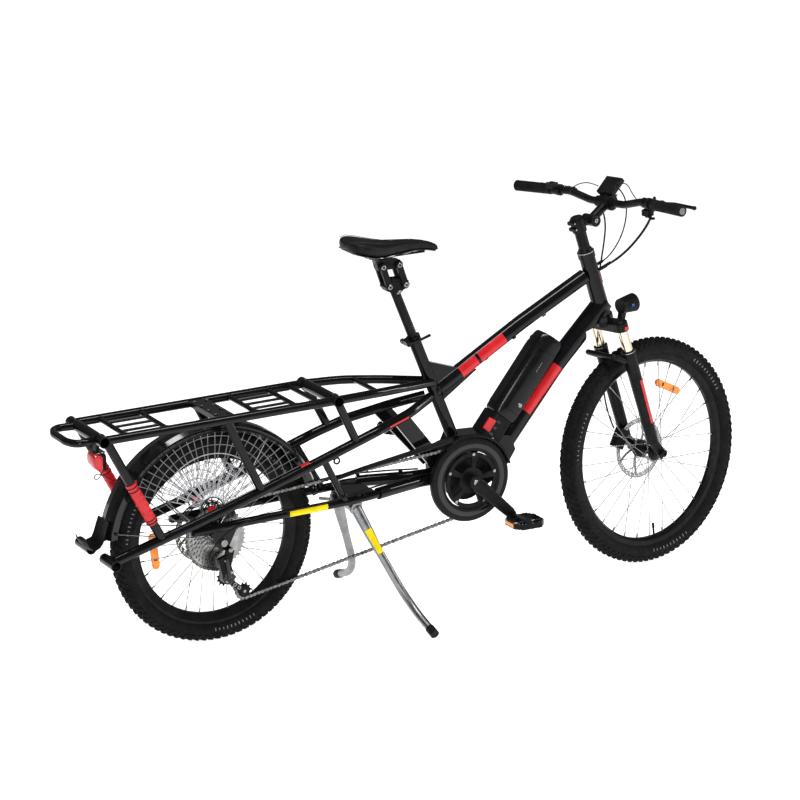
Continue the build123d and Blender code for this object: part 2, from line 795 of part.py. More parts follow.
def chain_arc(centre, pitch_r, start, end):
    """Chain round a sprocket, from one angle to another, as two side plates."""
    arc = []
    step = radians(6)
    count = max(2, int((end - start) / step))
    angles = [start + (end - start) * i / count for i in range(count + 1)]
    high, low = pitch_r + CHAIN_HALF, pitch_r - CHAIN_HALF
    outer = [(centre.X + high * cos(a), centre.Z + high * sin(a)) for a in angles]
    inner = [(centre.X + low * cos(a), centre.Z + low * sin(a)) for a in angles]
    for offset in (-CHAIN_PLATE_Y, CHAIN_PLATE_Y):
        arc.append(plate(outer + inner[::-1], centre.Y + offset + 0.6, centre.Y + offset - 0.6))
    return arc


def chain():
    """Whole chain loop: top run, ring, lower run, both pulleys and the cog."""
    top_cog, top_ring, top_angle = tangent(COG_CENTRE, COG_PITCH_R, RING_CENTRE, RING_PITCH_R, 1)
    low_pulley, low_ring, low_angle = tangent(LOWER_PULLEY, PULLEY_PITCH_R, RING_CENTRE, RING_PITCH_R, -1)
    pieces = chain_run(top_cog, top_ring) + chain_run(low_pulley, low_ring)
    pieces += chain_arc(RING_CENTRE, RING_PITCH_R, low_angle, top_angle)
    pieces += chain_arc(COG_CENTRE, COG_PITCH_R, top_angle, radians(268))
    return group(*pieces)


def sprocket(centre):
    wheel = toothed(centre, PULLEY_PITCH_R, PULLEY_TEETH, centre.Y, 2.0)
    hub_ring = disc(centre, 9, centre.Y + 3.2, centre.Y - 3.2)
    return wheel + hub_ring - disc(centre, 3.05, centre.Y + 20, centre.Y - 20)


def upper_jockey():
    return sprocket(UPPER_PULLEY)


def lower_jockey():
    return sprocket(LOWER_PULLEY)


DERAILLEUR_BOLT = Vector(14, 0, 286)


def derailleur():
    """Derailleur bracket, swing arms and knuckle outside the dropout."""
    bolt = disc(DERAILLEUR_BOLT, 8, -76.3, -92)
    arm = aligned_box(Vector(8, -84, 252), Vector(-14, 0, -60), 66, 12, 22)
    knuckle = disc(Vector(8, 0, 203), 17, -62, -92)
    shell = plate([(-24, 262), (6, 272), (22, 214), (-10, 200)], -78, -94)
    pin = disc(UPPER_PULLEY, 6.4, -37.6, -70)
    return bolt + arm + knuckle + shell + pin - disc(REAR_AXLE, 12, -50, -100)


def derailleur_cage():
    """Two cage plates with the pulley bolts between them."""
    span = LOWER_PULLEY - UPPER_PULLEY
    middle = (UPPER_PULLEY + LOWER_PULLEY) * 0.5
    plates = Part()
    for y_high, y_low in ((COG_Y + 6.4, COG_Y + 4.6), (COG_Y - 4.6, COG_Y - 6.4)):
        strap = aligned_box(Vector(middle.X, (y_high + y_low) / 2, middle.Z), span, span.length, 1.8, 16)
        plates = plates + strap
        for pulley in (UPPER_PULLEY, LOWER_PULLEY):
            plates = plates + disc(pulley, 12, y_high, y_low)
    upper_bolt = disc(UPPER_PULLEY, 3.0, COG_Y + 7.5, COG_Y - 6.4)
    bolts = upper_bolt + disc(LOWER_PULLEY, 3.0, COG_Y + 7.5, COG_Y - 8)
    return plates + bolts


# ---------------------------------------------------------------- stand
def leg_knee(side):
    """Corner of a leg's centre line, where it sweeps forward."""
    return Vector(530, 165 * side, 62)


def leg_foot(side):
    """End of a leg's metal, above its rubber cap."""
    return Vector(STAND_FOOT.X, STAND_FOOT.Y * side, STAND_FOOT.Z)


def kickstand():
    """Two-leg stand: cross shaft and two splayed legs that sweep outwards at the foot."""
    body = disc(STAND_PIVOT, 14, 66, -66)
    for side in (1, -1):
        points = [Vector(STAND_PIVOT.X, 58 * side, STAND_PIVOT.Z - 4), leg_knee(side), leg_foot(side)]
        body = body + bent_tube(points, [180], 11.5)
    return body


def kickstand_feet():
    """Rubber caps on the ends of the legs."""
    pieces = []
    for side in (1, -1):
        end = leg_foot(side)
        along = (end - leg_knee(side)).normalized()
        cap = rod(end - along * 12, end + along * 18, 13) - rod(end - along * 20, end, 11.5)
        floor = Pos(end.X, end.Y, -20) * Box(80, 80, 40)
        pieces.append(largest(cap - floor))
    return group(*pieces)


# ---------------------------------------------------------------- battery
BATTERY_MID = Vector(992, 0, 628)
BATTERY_ANGLE = 52.0
BATTERY_DIR = Vector(cos(radians(BATTERY_ANGLE)), 0, sin(radians(BATTERY_ANGLE)))
BATTERY_UP = Vector(-sin(radians(BATTERY_ANGLE)), 0, cos(radians(BATTERY_ANGLE)))
BATTERY_SIZE = (270.0, 84.0, 74.0)


def battery():
    """Battery pack with rounded long edges."""
    plane = Plane(origin=BATTERY_MID, x_dir=BATTERY_DIR, z_dir=Vector(0, 1, 0))
    length, width, thick = BATTERY_SIZE
    block = Box(length, thick, width)
    block = fillet(block.edges().filter_by(Axis.X), 14)
    return plane * block


def battery_dock():
    """Rail on the down tube with the contact box under the battery."""
    length, thick = BATTERY_SIZE[0], BATTERY_SIZE[2]
    low = BATTERY_MID - BATTERY_UP * (thick / 2 + 8.4)
    rail = aligned_box(low + BATTERY_DIR * 4, BATTERY_DIR, 236, 40, 16)
    end = BATTERY_MID - BATTERY_DIR * (length / 2 + 35.4) - BATTERY_UP * 4
    box = aligned_box(end, BATTERY_DIR, 70, 70, 60)
    return largest((rail + box) - down_shell() - cradle_shell())


# ---------------------------------------------------------------- saddle
LINK = Vector(-20, 0, 59)
PIVOT_FRONT = on_seat_tube(946) + Vector(33, 0, 1)
PIVOT_REAR = on_seat_tube(946) + Vector(-18, 0, 0)
HEAD_FRONT = PIVOT_FRONT + LINK
HEAD_REAR = PIVOT_REAR + LINK
PIN_R = 4.0


def pin_holes(*points):
    holes = Part()
    for point in points:
        holes = holes + disc(point, PIN_R + 0.05, 40, -40)
    return holes


def seatpost():
    """Seatpost tube with a fork-shaped head for the two links."""
    tube = rod(on_seat_tube(640), on_seat_tube(938), SEATPOST_R)
    tube = tube - rod(on_seat_tube(630), on_seat_tube(920), 11)
    block = plate([(548, 934), (566, 926), (598, 930), (616, 938), (618, 957), (548, 957), (542, 946)], 13, -13)
    pins = disc(PIVOT_FRONT, PIN_R, 20.6, -20.6) + disc(PIVOT_REAR, PIN_R, 20.6, -20.6)
    return tube + block + pins


def link(low, high):
    """Pair of link plates outside the two heads."""
    pieces = []
    for y in (17.0, -17.0):
        bar = disc(low, 11, y + 3.5, y - 3.5) + disc(high, 11, y + 3.5, y - 3.5)
        bar = bar + aligned_box((low + high) * 0.5 + Vector(0, y, 0), high - low, (high - low).length, 7, 18)
        pieces.append(bar - pin_holes(low, high))
    return group(*pieces)


def front_link():
    return link(PIVOT_FRONT, HEAD_FRONT)


def rear_link():
    return link(PIVOT_REAR, HEAD_REAR)


def saddle_head():
    """Upper head of the suspension seatpost with the rail clamp."""
    block = plate([(524, 994), (594, 996), (600, 1010), (590, 1020), (556, 1028), (514, 1028)], 13, -13)
    pins = disc(HEAD_FRONT, PIN_R, 20.6, -20.6) + disc(HEAD_REAR, PIN_R, 20.6, -20.6)
    clamp = Pos(534, 0, 1030) * Box(40, 56, 10)
    return block + pins + clamp + saddle_rails()


RAIL_SECTION_R = 3.5


def saddle_rails():
    """Two steel rails under the saddle."""
    pieces = []
    for side in (1, -1):
        points = [
            Vector(448, 30 * side, 1062), Vector(492, 24 * side, 1036), Vector(590, 22 * side, 1036),
            Vector(668, 12 * side, 1034),
        ]
        pieces.append(bent_tube(points, [25, 60], RAIL_SECTION_R))
    return group(*pieces)


def saddle():
    """Padded saddle on its shell: wide rear, long narrow nose."""
    sections = []
    for x, half_width, top, low in SADDLE_STATIONS:
        plane = Plane(origin=(x, 0, (top + low) / 2), x_dir=(0, 1, 0), z_dir=(1, 0, 0))
        sections.append(plane * RectangleRounded(2 * half_width, top - low, (top - low) * 0.4))
    return loft(sections)


SADDLE_STATIONS = (
    (432, 46, 1080, 1058), (462, 74, 1086, 1052), (510, 66, 1078, 1050), (570, 38, 1070, 1046),
    (640, 23, 1064, 1042), (712, 17, 1054, 1038),
)


# ---------------------------------------------------------------- front end
def leg_top(side, height):
    """Point of a stanchion's axis at a height."""
    p = on_steerer(height) + fork_ahead * LEG_OFFSET
    return Vector(p.X, LEG_SPREAD * side, p.Z)


CROWN_Z = 742.0


def fork_crown():
    """Crown with the steerer tube."""
    steerer = rod(on_steerer(CROWN_Z), on_steerer(1068), 14.3)
    race = rod(on_steerer(CROWN_Z), on_steerer(757.0), 24)
    low, high = on_steerer(727) + fork_ahead * LEG_OFFSET, on_steerer(749) + fork_ahead * LEG_OFFSET
    bridge = aligned_box((low + high) * 0.5, steer_dir, 24, 2 * LEG_SPREAD, 40)
    ends = rod(leg_top(1, 727), leg_top(1, 751), 20) + rod(leg_top(-1, 727), leg_top(-1, 751), 20)
    crown = steerer + race + bridge + ends + lamp_bracket()
    for side in (1, -1):
        crown = crown - rod(leg_top(side, 560), leg_top(side, 760), STANCHION_R)
    return steered(crown)


def fork_stanchions():
    """Two plated inner legs of the fork."""
    legs = [pipe(leg_top(side, 470), leg_top(side, 752), STANCHION_R, 2) for side in (1, -1)]
    return steered(group(*legs))


LOWER_TOP_Z = 655.0
LEG_R = 20.0


def fork_lowers():
    """Cast lower legs with their arch, dropouts and fixed axle."""
    body = Part()
    for side in (1, -1):
        top, low = leg_top(side, LOWER_TOP_Z), leg_top(side, 375)
        leg = rod(top, low, LEG_R, 17)
        bore = rod(leg_top(side, 400), leg_top(side, 700), STANCHION_R + 0.05)
        drop_end = Vector(FRONT_AXLE.X, 58 * side, FRONT_AXLE.Z)
        foot = aligned_box((low + drop_end) * 0.5, drop_end - low, (drop_end - low).length + 26, 10, 26)
        body = body + (leg - bore) + foot
    arch_path = [
        leg_top(1, 640), leg_top(1, 668) + fork_ahead * -36,
        leg_top(-1, 668) + fork_ahead * -36, leg_top(-1, 640),
    ]
    arch = bent_tube([p + fork_ahead * -18 for p in arch_path], [8, 8], 8)
    room = stanchion_slide_room(1) + stanchion_slide_room(-1)
    axle = disc(FRONT_AXLE, AXLE_R, 72, -72)
    return steered((body + arch) - room + axle)


def stanchion_slide_room(side):
    return rod(leg_top(side, 400), leg_top(side, 780), STANCHION_R + 0.05)


def stem():
    """Adjustable stem: steerer clamp, pivot barrel and bar clamp."""
    room = rod(on_steerer(950), on_steerer(1080), 14.35)
    collar = rod(on_steerer(1028), on_steerer(1066), 21) - room
    spacer = rod(on_steerer(965.2), on_steerer(1027.8), 17) - room
    barrel = disc(STEM_PIVOT, 17, 22, -22)
    neck = rod(on_steerer(1048) + fork_ahead * 15, STEM_PIVOT, 13) - room
    arm = rod(STEM_PIVOT, BAR_CENTRE, 14)
    clamp = disc(BAR_CENTRE, 22, 22, -22)
    body = collar + neck + barrel + arm + clamp - disc(BAR_CENTRE, CLAMP_R + 0.05, 30, -30)
    return steered(group(body, spacer))


STEM_PIVOT = Vector(1224, 0, 1054)
BAR_CENTRE = Vector(1290, 0, 1096)
CLAMP_R = 15.9


def bar_route(side):
    return [
        Vector(BAR_CENTRE.X, 0, BAR_CENTRE.Z), Vector(1290, 70 * side, 1096), Vector(1284, 150 * side, 1114),
        Vector(1252, BAR_HALF * side, 1114),
    ]


def handlebar():
    """Low-rise bar with a thicker middle."""
    centre = disc(BAR_CENTRE, CLAMP_R, 30, -30)
    halves = bent_tube(bar_route(1), [80, 110], BAR_R) + bent_tube(bar_route(-1), [80, 110], BAR_R)
    return steered(centre + halves)


def grip_axis(side, from_end):
    """Point of the bar's grip stretch, a distance in from its end."""
    end, knee = bar_route(side)[3], bar_route(side)[2]
    return end + (knee - end).normalized() * from_end


def grips():
    """Two rubber grips with closed ends."""
    pieces = []
    for side in (1, -1):
        outer = rod(grip_axis(side, -2), grip_axis(side, GRIP_LENGTH), GRIP_R)
        pieces.append(outer - rod(grip_axis(side, 0), grip_axis(side, GRIP_LENGTH + 5), BAR_R + 0.02))
    return steered(group(*pieces))


def bar_room(side):
    """Space that the bar takes inside what is clamped on it."""
    return rod(grip_axis(side, 0), grip_axis(side, GRIP_LENGTH + 62), BAR_R + 0.02)


def lever_bodies():
    """Brake master cylinders on bar clamps, with the shifter pod and the remote pad."""
    pieces = []
    for side in (1, -1):
        ring = rod(grip_axis(side, GRIP_LENGTH + 20), grip_axis(side, GRIP_LENGTH + 34), 16)
        cylinder = rod(cylinder_end(side, 6), cylinder_end(side, 60), 9)
        bridge = rod(grip_axis(side, GRIP_LENGTH + 27), cylinder_end(side, 27), 8)
        body = ring + cylinder + bridge
        if side == 1:
            body = body + remote_pad()
        pieces.append(largest(body - bar_room(side) - lever_room(side)))
    return steered(group(*pieces, shifter_pod()))


def cylinder_end(side, from_grip):
    """Point of a master cylinder's axis."""
    return grip_axis(side, GRIP_LENGTH + from_grip) + Vector(29, 0, -5)


def lever_pivot(side):
    return cylinder_end(side, 20) + Vector(15, 0, 0)


def lever_room(side):
    pivot = lever_pivot(side)
    return rod(pivot + Vector(0, 0, -7.3), pivot + Vector(0, 0, 7.3), 12)


def brake_lever(side):
    """Two-finger lever blade ahead of a grip, on its pivot barrel."""
    pivot = lever_pivot(side)
    barrel = rod(pivot + Vector(0, 0, -7), pivot + Vector(0, 0, 7), 8)
    route = [pivot, pivot + Vector(17, 32 * side, 0), pivot + Vector(6, 125 * side, 0)]
    blade = bent_tube(route, [25], 5.2) + Pos(*route[2]) * Sphere(6.5)
    return steered(barrel + blade)


def left_brake_lever():
    return brake_lever(1)


def right_brake_lever():
    return brake_lever(-1)


POD = grip_axis(-1, GRIP_LENGTH + 47) + Vector(8, 0, -29)
POD_HALF = 8.0


def shifter_pod():
    """Gear shifter housing under the right end of the bar."""
    ring = rod(grip_axis(-1, GRIP_LENGTH + 40), grip_axis(-1, GRIP_LENGTH + 54), 15)
    neck = rod(grip_axis(-1, GRIP_LENGTH + 47), POD, 6)
    return ring + neck + Pos(*POD) * Cylinder(17, 2 * POD_HALF) - bar_room(-1)


def shift_paddle():
    """Thumb paddle under the shifter housing."""
    level = POD + Vector(0, 0, -POD_HALF - 3.0)
    thumb = level + Vector(-16, -34, 0)
    arm = aligned_arm(level, thumb, 9, 4)
    return steered(arm + Pos(*thumb) * Cylinder(9, 5) + Pos(*level) * Cylinder(8, 5))


def aligned_arm(a, b, width, height):
    """Flat bar between two points of the same height."""
    span = b - a
    return Plane(origin=(a + b) * 0.5, x_dir=span, z_dir=(0, 0, 1)) * Box(span.length, width, height)


PAD = grip_axis(1, GRIP_LENGTH + 17) + Vector(-19, 0, 15)
BUTTON_R = 5.0


def remote_pad():
    """Remote control pad beside the left grip, with a pocket for its button."""
    ring = rod(grip_axis(1, GRIP_LENGTH + 2), grip_axis(1, GRIP_LENGTH + 19), 15)
    pad = Pos(*PAD) * Box(24, 28, 18)
    pocket = Pos(PAD.X, PAD.Y, PAD.Z + 7.5) * Cylinder(BUTTON_R + 0.2, 4)
    return ring + pad - pocket


def remote_button():
    return steered(Pos(PAD.X, PAD.Y, PAD.Z + 9.2) * Cylinder(BUTTON_R, 3.6))


def display():
    """Display pod on a ring round the bar."""
    ring = disc(BAR_CENTRE, 16, 40.5, 32)
    arm = rod(BAR_CENTRE + Vector(8, 36, 10), BAR_CENTRE + Vector(20, 36, 40), 5)
    pod = aligned_box(BAR_CENTRE + Vector(20, 6, 44), Vector(1, 0, 0.9), 58, 66, 13)
    room = disc(BAR_CENTRE, BAR_R + 0.1, 60, 30) + disc(BAR_CENTRE, 22.5, 31, -40)
    return steered(largest(ring + arm + pod - room))


LAMP_PIVOT = Vector(1330, 0, 748)


def lamp_bracket():
    """Steel bracket from the crown to the headlamp's pivot."""
    arm = plate([(1296, 742), (1290, 728), (1330, 736), (1338, 748), (1330, 756)], 3, -3)
    return arm - disc(LAMP_PIVOT, 3.05, 10, -10)


def headlamp():
    """Round headlamp on a fork-shaped foot."""
    shell = rod(LAMP_PIVOT + Vector(-2, 0, 36), LAMP_PIVOT + Vector(52, 0, 40), 22, 27)
    ear = [(1322, 740), (1338, 740), (1348, 772), (1328, 772)]
    ears = plate(ear, 8, 3.4) + plate(ear, -3.4, -8)
    pin = disc(LAMP_PIVOT, 3.0, 9, -9)
    return steered(shell + ears + pin)


# ---------------------------------------------------------------- brakes
def caliper(axle, rotor_y, angle):
    """Brake caliper with a slot for the disc."""
    a = radians(angle)
    centre = axle + Vector(84 * cos(a), rotor_y + 4, 84 * sin(a))
    body = Plane(origin=centre, x_dir=Vector(-sin(a), 0, cos(a)), z_dir=Vector(0, 1, 0)) * Box(58, 34, 26)
    slot = disc(axle, ROTOR_R + 3, rotor_y + 2, rotor_y - 2)
    return body - slot


def rear_caliper():
    return caliper(REAR_AXLE, REAR_ROTOR_Y, 24) - stay_shell(1)


def front_caliper():
    return steered(largest(caliper(FRONT_AXLE, FRONT_ROTOR_Y, 150) - fork_leg_shell()))


def fork_leg_shell():
    """Outside of the left lower leg and its dropout."""
    drop_end = Vector(FRONT_AXLE.X, 58, FRONT_AXLE.Z)
    low = leg_top(1, 375)
    foot = aligned_box((low + drop_end) * 0.5, drop_end - low, (drop_end - low).length + 26, 10, 26)
    return rod(leg_top(1, LOWER_TOP_Z), low, LEG_R, 17) + foot


# ---------------------------------------------------------------- hoses and cables
HOSE = 5.0

# Each route is a list of points along the line, in the drawing frame, with the bars at rest.
SHIFT_HOUSING = [
    (1352, -104, 1086), (1376, -76, 1070), (1382, -48, 1036), (1366, -30, 998), (1334, -22, 962),
    (1296, -20, 936), (1262, -16, 920), (1240, -14, 911),
]
REAR_BRAKE_HOSE = [
    (1372, -94, 1122), (1400, -60, 1108), (1412, -28, 1070), (1402, -8, 1022), (1372, 0, 980),
    (1332, 2, 946), (1290, 0, 924), (1245, -1, 907),
]
DISPLAY_WIRE = [
    (1330, 40, 1132), (1352, 44, 1112), (1362, 40, 1076), (1354, 30, 1034), (1334, 22, 990),
    (1302, 16, 950), (1270, 14, 926), (1239, 13, 916),
]
# The front hose is listed with the wheel straight ahead and then turned with the bars.
FRONT_BRAKE_HOSE = [
    (1311, 150, 1109), (1330, 112, 1098), (1346, 84, 1066), (1348, 72, 1016), (1340, 74, 960),
    (1330, 80, 900), (1322, 88, 838), (1318, 94, 778), (1318, 95, 718), (1322, 94, 658), (1329, 92, 598),
    (1334, 90, 538), (1336, 84, 482), (1334, 66, 440), (1334, 48, 410),
]
RIGHT_STAY_HOUSING = [
    (664, -28, 387.7), (640, -31, 389), (592, -43, 391), (520, -60, 391), (455, -76, 391), (400, -88, 384),
    (280, -91, 372), (165, -90, 370), (85, -93, 366), (20, -101, 352), (-30, -106, 322), (-58, -104, 284),
    (-52, -98, 250), (-22, -90, 236),
]
LEFT_STAY_HOSE = [
    (664, 28, 387.7), (640, 31, 389), (592, 43, 391), (520, 60, 391), (455, 76, 391), (400, 88, 384),
    (280, 91, 372), (190, 86, 372), (145, 74, 374), (112, 58, 366), (92, 51, 356),
]


def steering_cables():
    """Housings and wires from the bars to the frame's cable port."""
    return group(
        cable("shift_housing", SHIFT_HOUSING, HOSE),
        cable("rear_brake_hose", REAR_BRAKE_HOSE, HOSE),
        cable("display_wire", DISPLAY_WIRE, 4.0),
    )


def front_hose():
    return steered(cable("front_brake_hose", FRONT_BRAKE_HOSE, HOSE))


def frame_cables():
    """Shift housing and rear brake hose clipped along the chainstays."""
    return group(
        cable("right_stay_housing", RIGHT_STAY_HOUSING, HOSE),
        cable("left_stay_hose", LEFT_STAY_HOSE, HOSE),
    )


# ---------------------------------------------------------------- write
NODES = (
    head_tube, top_tube, down_tube, seat_tube, side_tubes, chainstays, rack_deck,
    rack_struts, rear_fender, mudflap, dress_guards, tail_light, motor, chain_guard, chain, rear_axle,
    rear_caliper, battery_dock, frame_cables, steering_cables, rear_tyre, rear_rim, rear_spokes,
    rear_hub, crankset, right_pedal, left_pedal, cassette, derailleur, derailleur_cage, upper_jockey,
    lower_jockey, kickstand, kickstand_feet, battery, seat_lever, seatpost, front_link, rear_link,
    saddle_head, saddle, fork_crown, fork_stanchions, stem, handlebar, grips, lever_bodies,
    left_brake_lever, right_brake_lever, shift_paddle, remote_button, display, headlamp, fork_lowers,
    front_caliper, front_hose, front_tyre, front_rim, front_spokes, front_hub,
)
os.makedirs("parts", exist_ok=True)
for make in NODES:
    export_step(place(make()), f"parts/{make.__name__}.step")
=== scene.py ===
import json
from math import asin, atan2, cos, hypot, pi, radians, sin, sqrt, tau

import bmesh
import bpy
from mathutils import Matrix, Quaternion, Vector


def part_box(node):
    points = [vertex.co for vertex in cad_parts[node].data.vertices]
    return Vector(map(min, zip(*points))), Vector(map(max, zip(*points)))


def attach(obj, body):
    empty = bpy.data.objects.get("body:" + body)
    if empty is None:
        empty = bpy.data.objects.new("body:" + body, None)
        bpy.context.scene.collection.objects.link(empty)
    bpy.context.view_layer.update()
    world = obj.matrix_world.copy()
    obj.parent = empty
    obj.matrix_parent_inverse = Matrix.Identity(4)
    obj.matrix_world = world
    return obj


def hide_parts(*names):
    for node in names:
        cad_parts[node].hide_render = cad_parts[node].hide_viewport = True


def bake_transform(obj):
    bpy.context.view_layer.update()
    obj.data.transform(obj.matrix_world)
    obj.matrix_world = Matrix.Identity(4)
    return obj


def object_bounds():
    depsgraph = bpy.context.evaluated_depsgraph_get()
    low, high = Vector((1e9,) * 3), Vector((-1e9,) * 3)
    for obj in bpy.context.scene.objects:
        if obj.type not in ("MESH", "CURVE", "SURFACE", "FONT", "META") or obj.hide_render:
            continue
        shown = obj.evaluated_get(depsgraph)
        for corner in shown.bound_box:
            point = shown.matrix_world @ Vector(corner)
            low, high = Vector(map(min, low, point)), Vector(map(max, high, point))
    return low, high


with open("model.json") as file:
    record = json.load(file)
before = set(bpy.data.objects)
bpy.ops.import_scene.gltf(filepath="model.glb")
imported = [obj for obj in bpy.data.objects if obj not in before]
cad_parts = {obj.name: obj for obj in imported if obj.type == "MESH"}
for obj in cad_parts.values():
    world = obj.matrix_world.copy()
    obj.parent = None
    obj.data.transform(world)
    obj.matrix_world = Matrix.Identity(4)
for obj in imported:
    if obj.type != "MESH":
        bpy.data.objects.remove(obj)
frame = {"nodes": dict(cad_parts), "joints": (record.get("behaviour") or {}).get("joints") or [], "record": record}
cad_low, cad_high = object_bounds()

# ---------------------------------------------------------------- places read from the frame
JOINT = {joint["name"]: joint for joint in frame["joints"]}
SLOT_OF = {part["node"]: part["material_slot"] for part in frame["record"]["subparts"]}
MM = 0.001


def pivot(name):
    """Point on a joint's axis."""
    return Vector(JOINT[name]["pos_m"])


def joint_axis(name):
    """Direction of a joint's axis."""
    return Vector(JOINT[name]["axis"]).normalized()


REAR = pivot("rear_wheel_spin")
FRONT = pivot("front_wheel_spin")
CRANK = pivot("crank_spin")
STEER = pivot("steering_turn")
STEER_AXIS = joint_axis("steering_turn")
ACROSS = joint_axis("rear_wheel_spin")
FRONT_ACROSS = joint_axis("front_wheel_spin")
TURN = Quaternion(STEER_AXIS, ACROSS.angle(FRONT_ACROSS))


def at(x, y, z):
    """Point in millimetres from the ground under the rear axle: forward, to the left, up."""
    return Vector((REAR.x, REAR.y, 0)) + Vector((x, y, z)) * MM


def turned(point):
    """A point of the straight-ahead front end, turned with the bars."""
    return STEER + TURN @ (point - STEER)


def ahead(x, y, z):
    """Like at(), for the front end."""
    return turned(at(x, y, z))


def facing(x, y, z):
    """A direction or step of the straight-ahead front end, turned with the bars."""
    return TURN @ Vector((x, y, z))


# ---------------------------------------------------------------- materials
def link(tree, a, b):
    """Joins two sockets."""
    tree.links.new(a, b)


def noise(tree, coords, scale, detail):
    """Noise in object space."""
    node = tree.nodes.new("ShaderNodeTexNoise")
    node.inputs["Scale"].default_value = scale
    node.inputs["Detail"].default_value = detail
    link(tree, coords, node.inputs["Vector"])
    return node.outputs["Fac"]


def spread(tree, value, low, high, start=0.35, end=0.65):
    """Maps a noise value to a range."""
    node = tree.nodes.new("ShaderNodeMapRange")
    node.inputs["From Min"].default_value = start
    node.inputs["From Max"].default_value = end
    node.inputs["To Min"].default_value = low
    node.inputs["To Max"].default_value = high
    link(tree, value, node.inputs["Value"])
    return node.outputs["Result"]


def blend_colours(tree, factor, first, second):
    """Mixes two colours by a factor."""
    node = tree.nodes.new("ShaderNodeMix")
    node.data_type = "RGBA"
    node.inputs["A"].default_value = (*first, 1)
    node.inputs["B"].default_value = (*second, 1)
    link(tree, factor, node.inputs["Factor"])
    return node.outputs["Result"]


def bumped(tree, height, strength, distance):
    """Normal with a bump from a height."""
    node = tree.nodes.new("ShaderNodeBump")
    node.inputs["Strength"].default_value = strength
    node.inputs["Distance"].default_value = distance
    link(tree, height, node.inputs["Height"])
    return node.outputs["Normal"]


def finish(name, colour, second, rough, grain=900.0, bump=0.15, depth=0.0003, patches=35.0, pattern="noise",
           **sockets):
    """A procedural finish: two-tone colour in patches, roughness that varies, and a fine grain in the normal."""
    made = bpy.data.materials.new(name)
    made.use_nodes = True
    tree = made.node_tree
    shader = tree.nodes["Principled BSDF"]
    coords = tree.nodes.new("ShaderNodeTexCoord").outputs["Object"]
    broad = noise(tree, coords, patches, 4.0)
    link(tree, blend_colours(tree, spread(tree, broad, 0, 1), colour, second), shader.inputs["Base Color"])
    fine = noise(tree, coords, grain, 2.0)
    link(tree, spread(tree, noise(tree, coords, patches * 2.3, 5.0), rough[0], rough[1]),
         shader.inputs["Roughness"])
    height = fine
    if pattern == "cells":
        cells = tree.nodes.new("ShaderNodeTexVoronoi")
        cells.inputs["Scale"].default_value = grain
        link(tree, coords, cells.inputs["Vector"])
        height = cells.outputs["Distance"]
    link(tree, bumped(tree, height, bump, depth), shader.inputs["Normal"])
    sockets.setdefault("Specular_IOR_Level", 0.1)
    for socket, value in sockets.items():
        shader.inputs[socket.replace("_", " ")].default_value = value
    return made


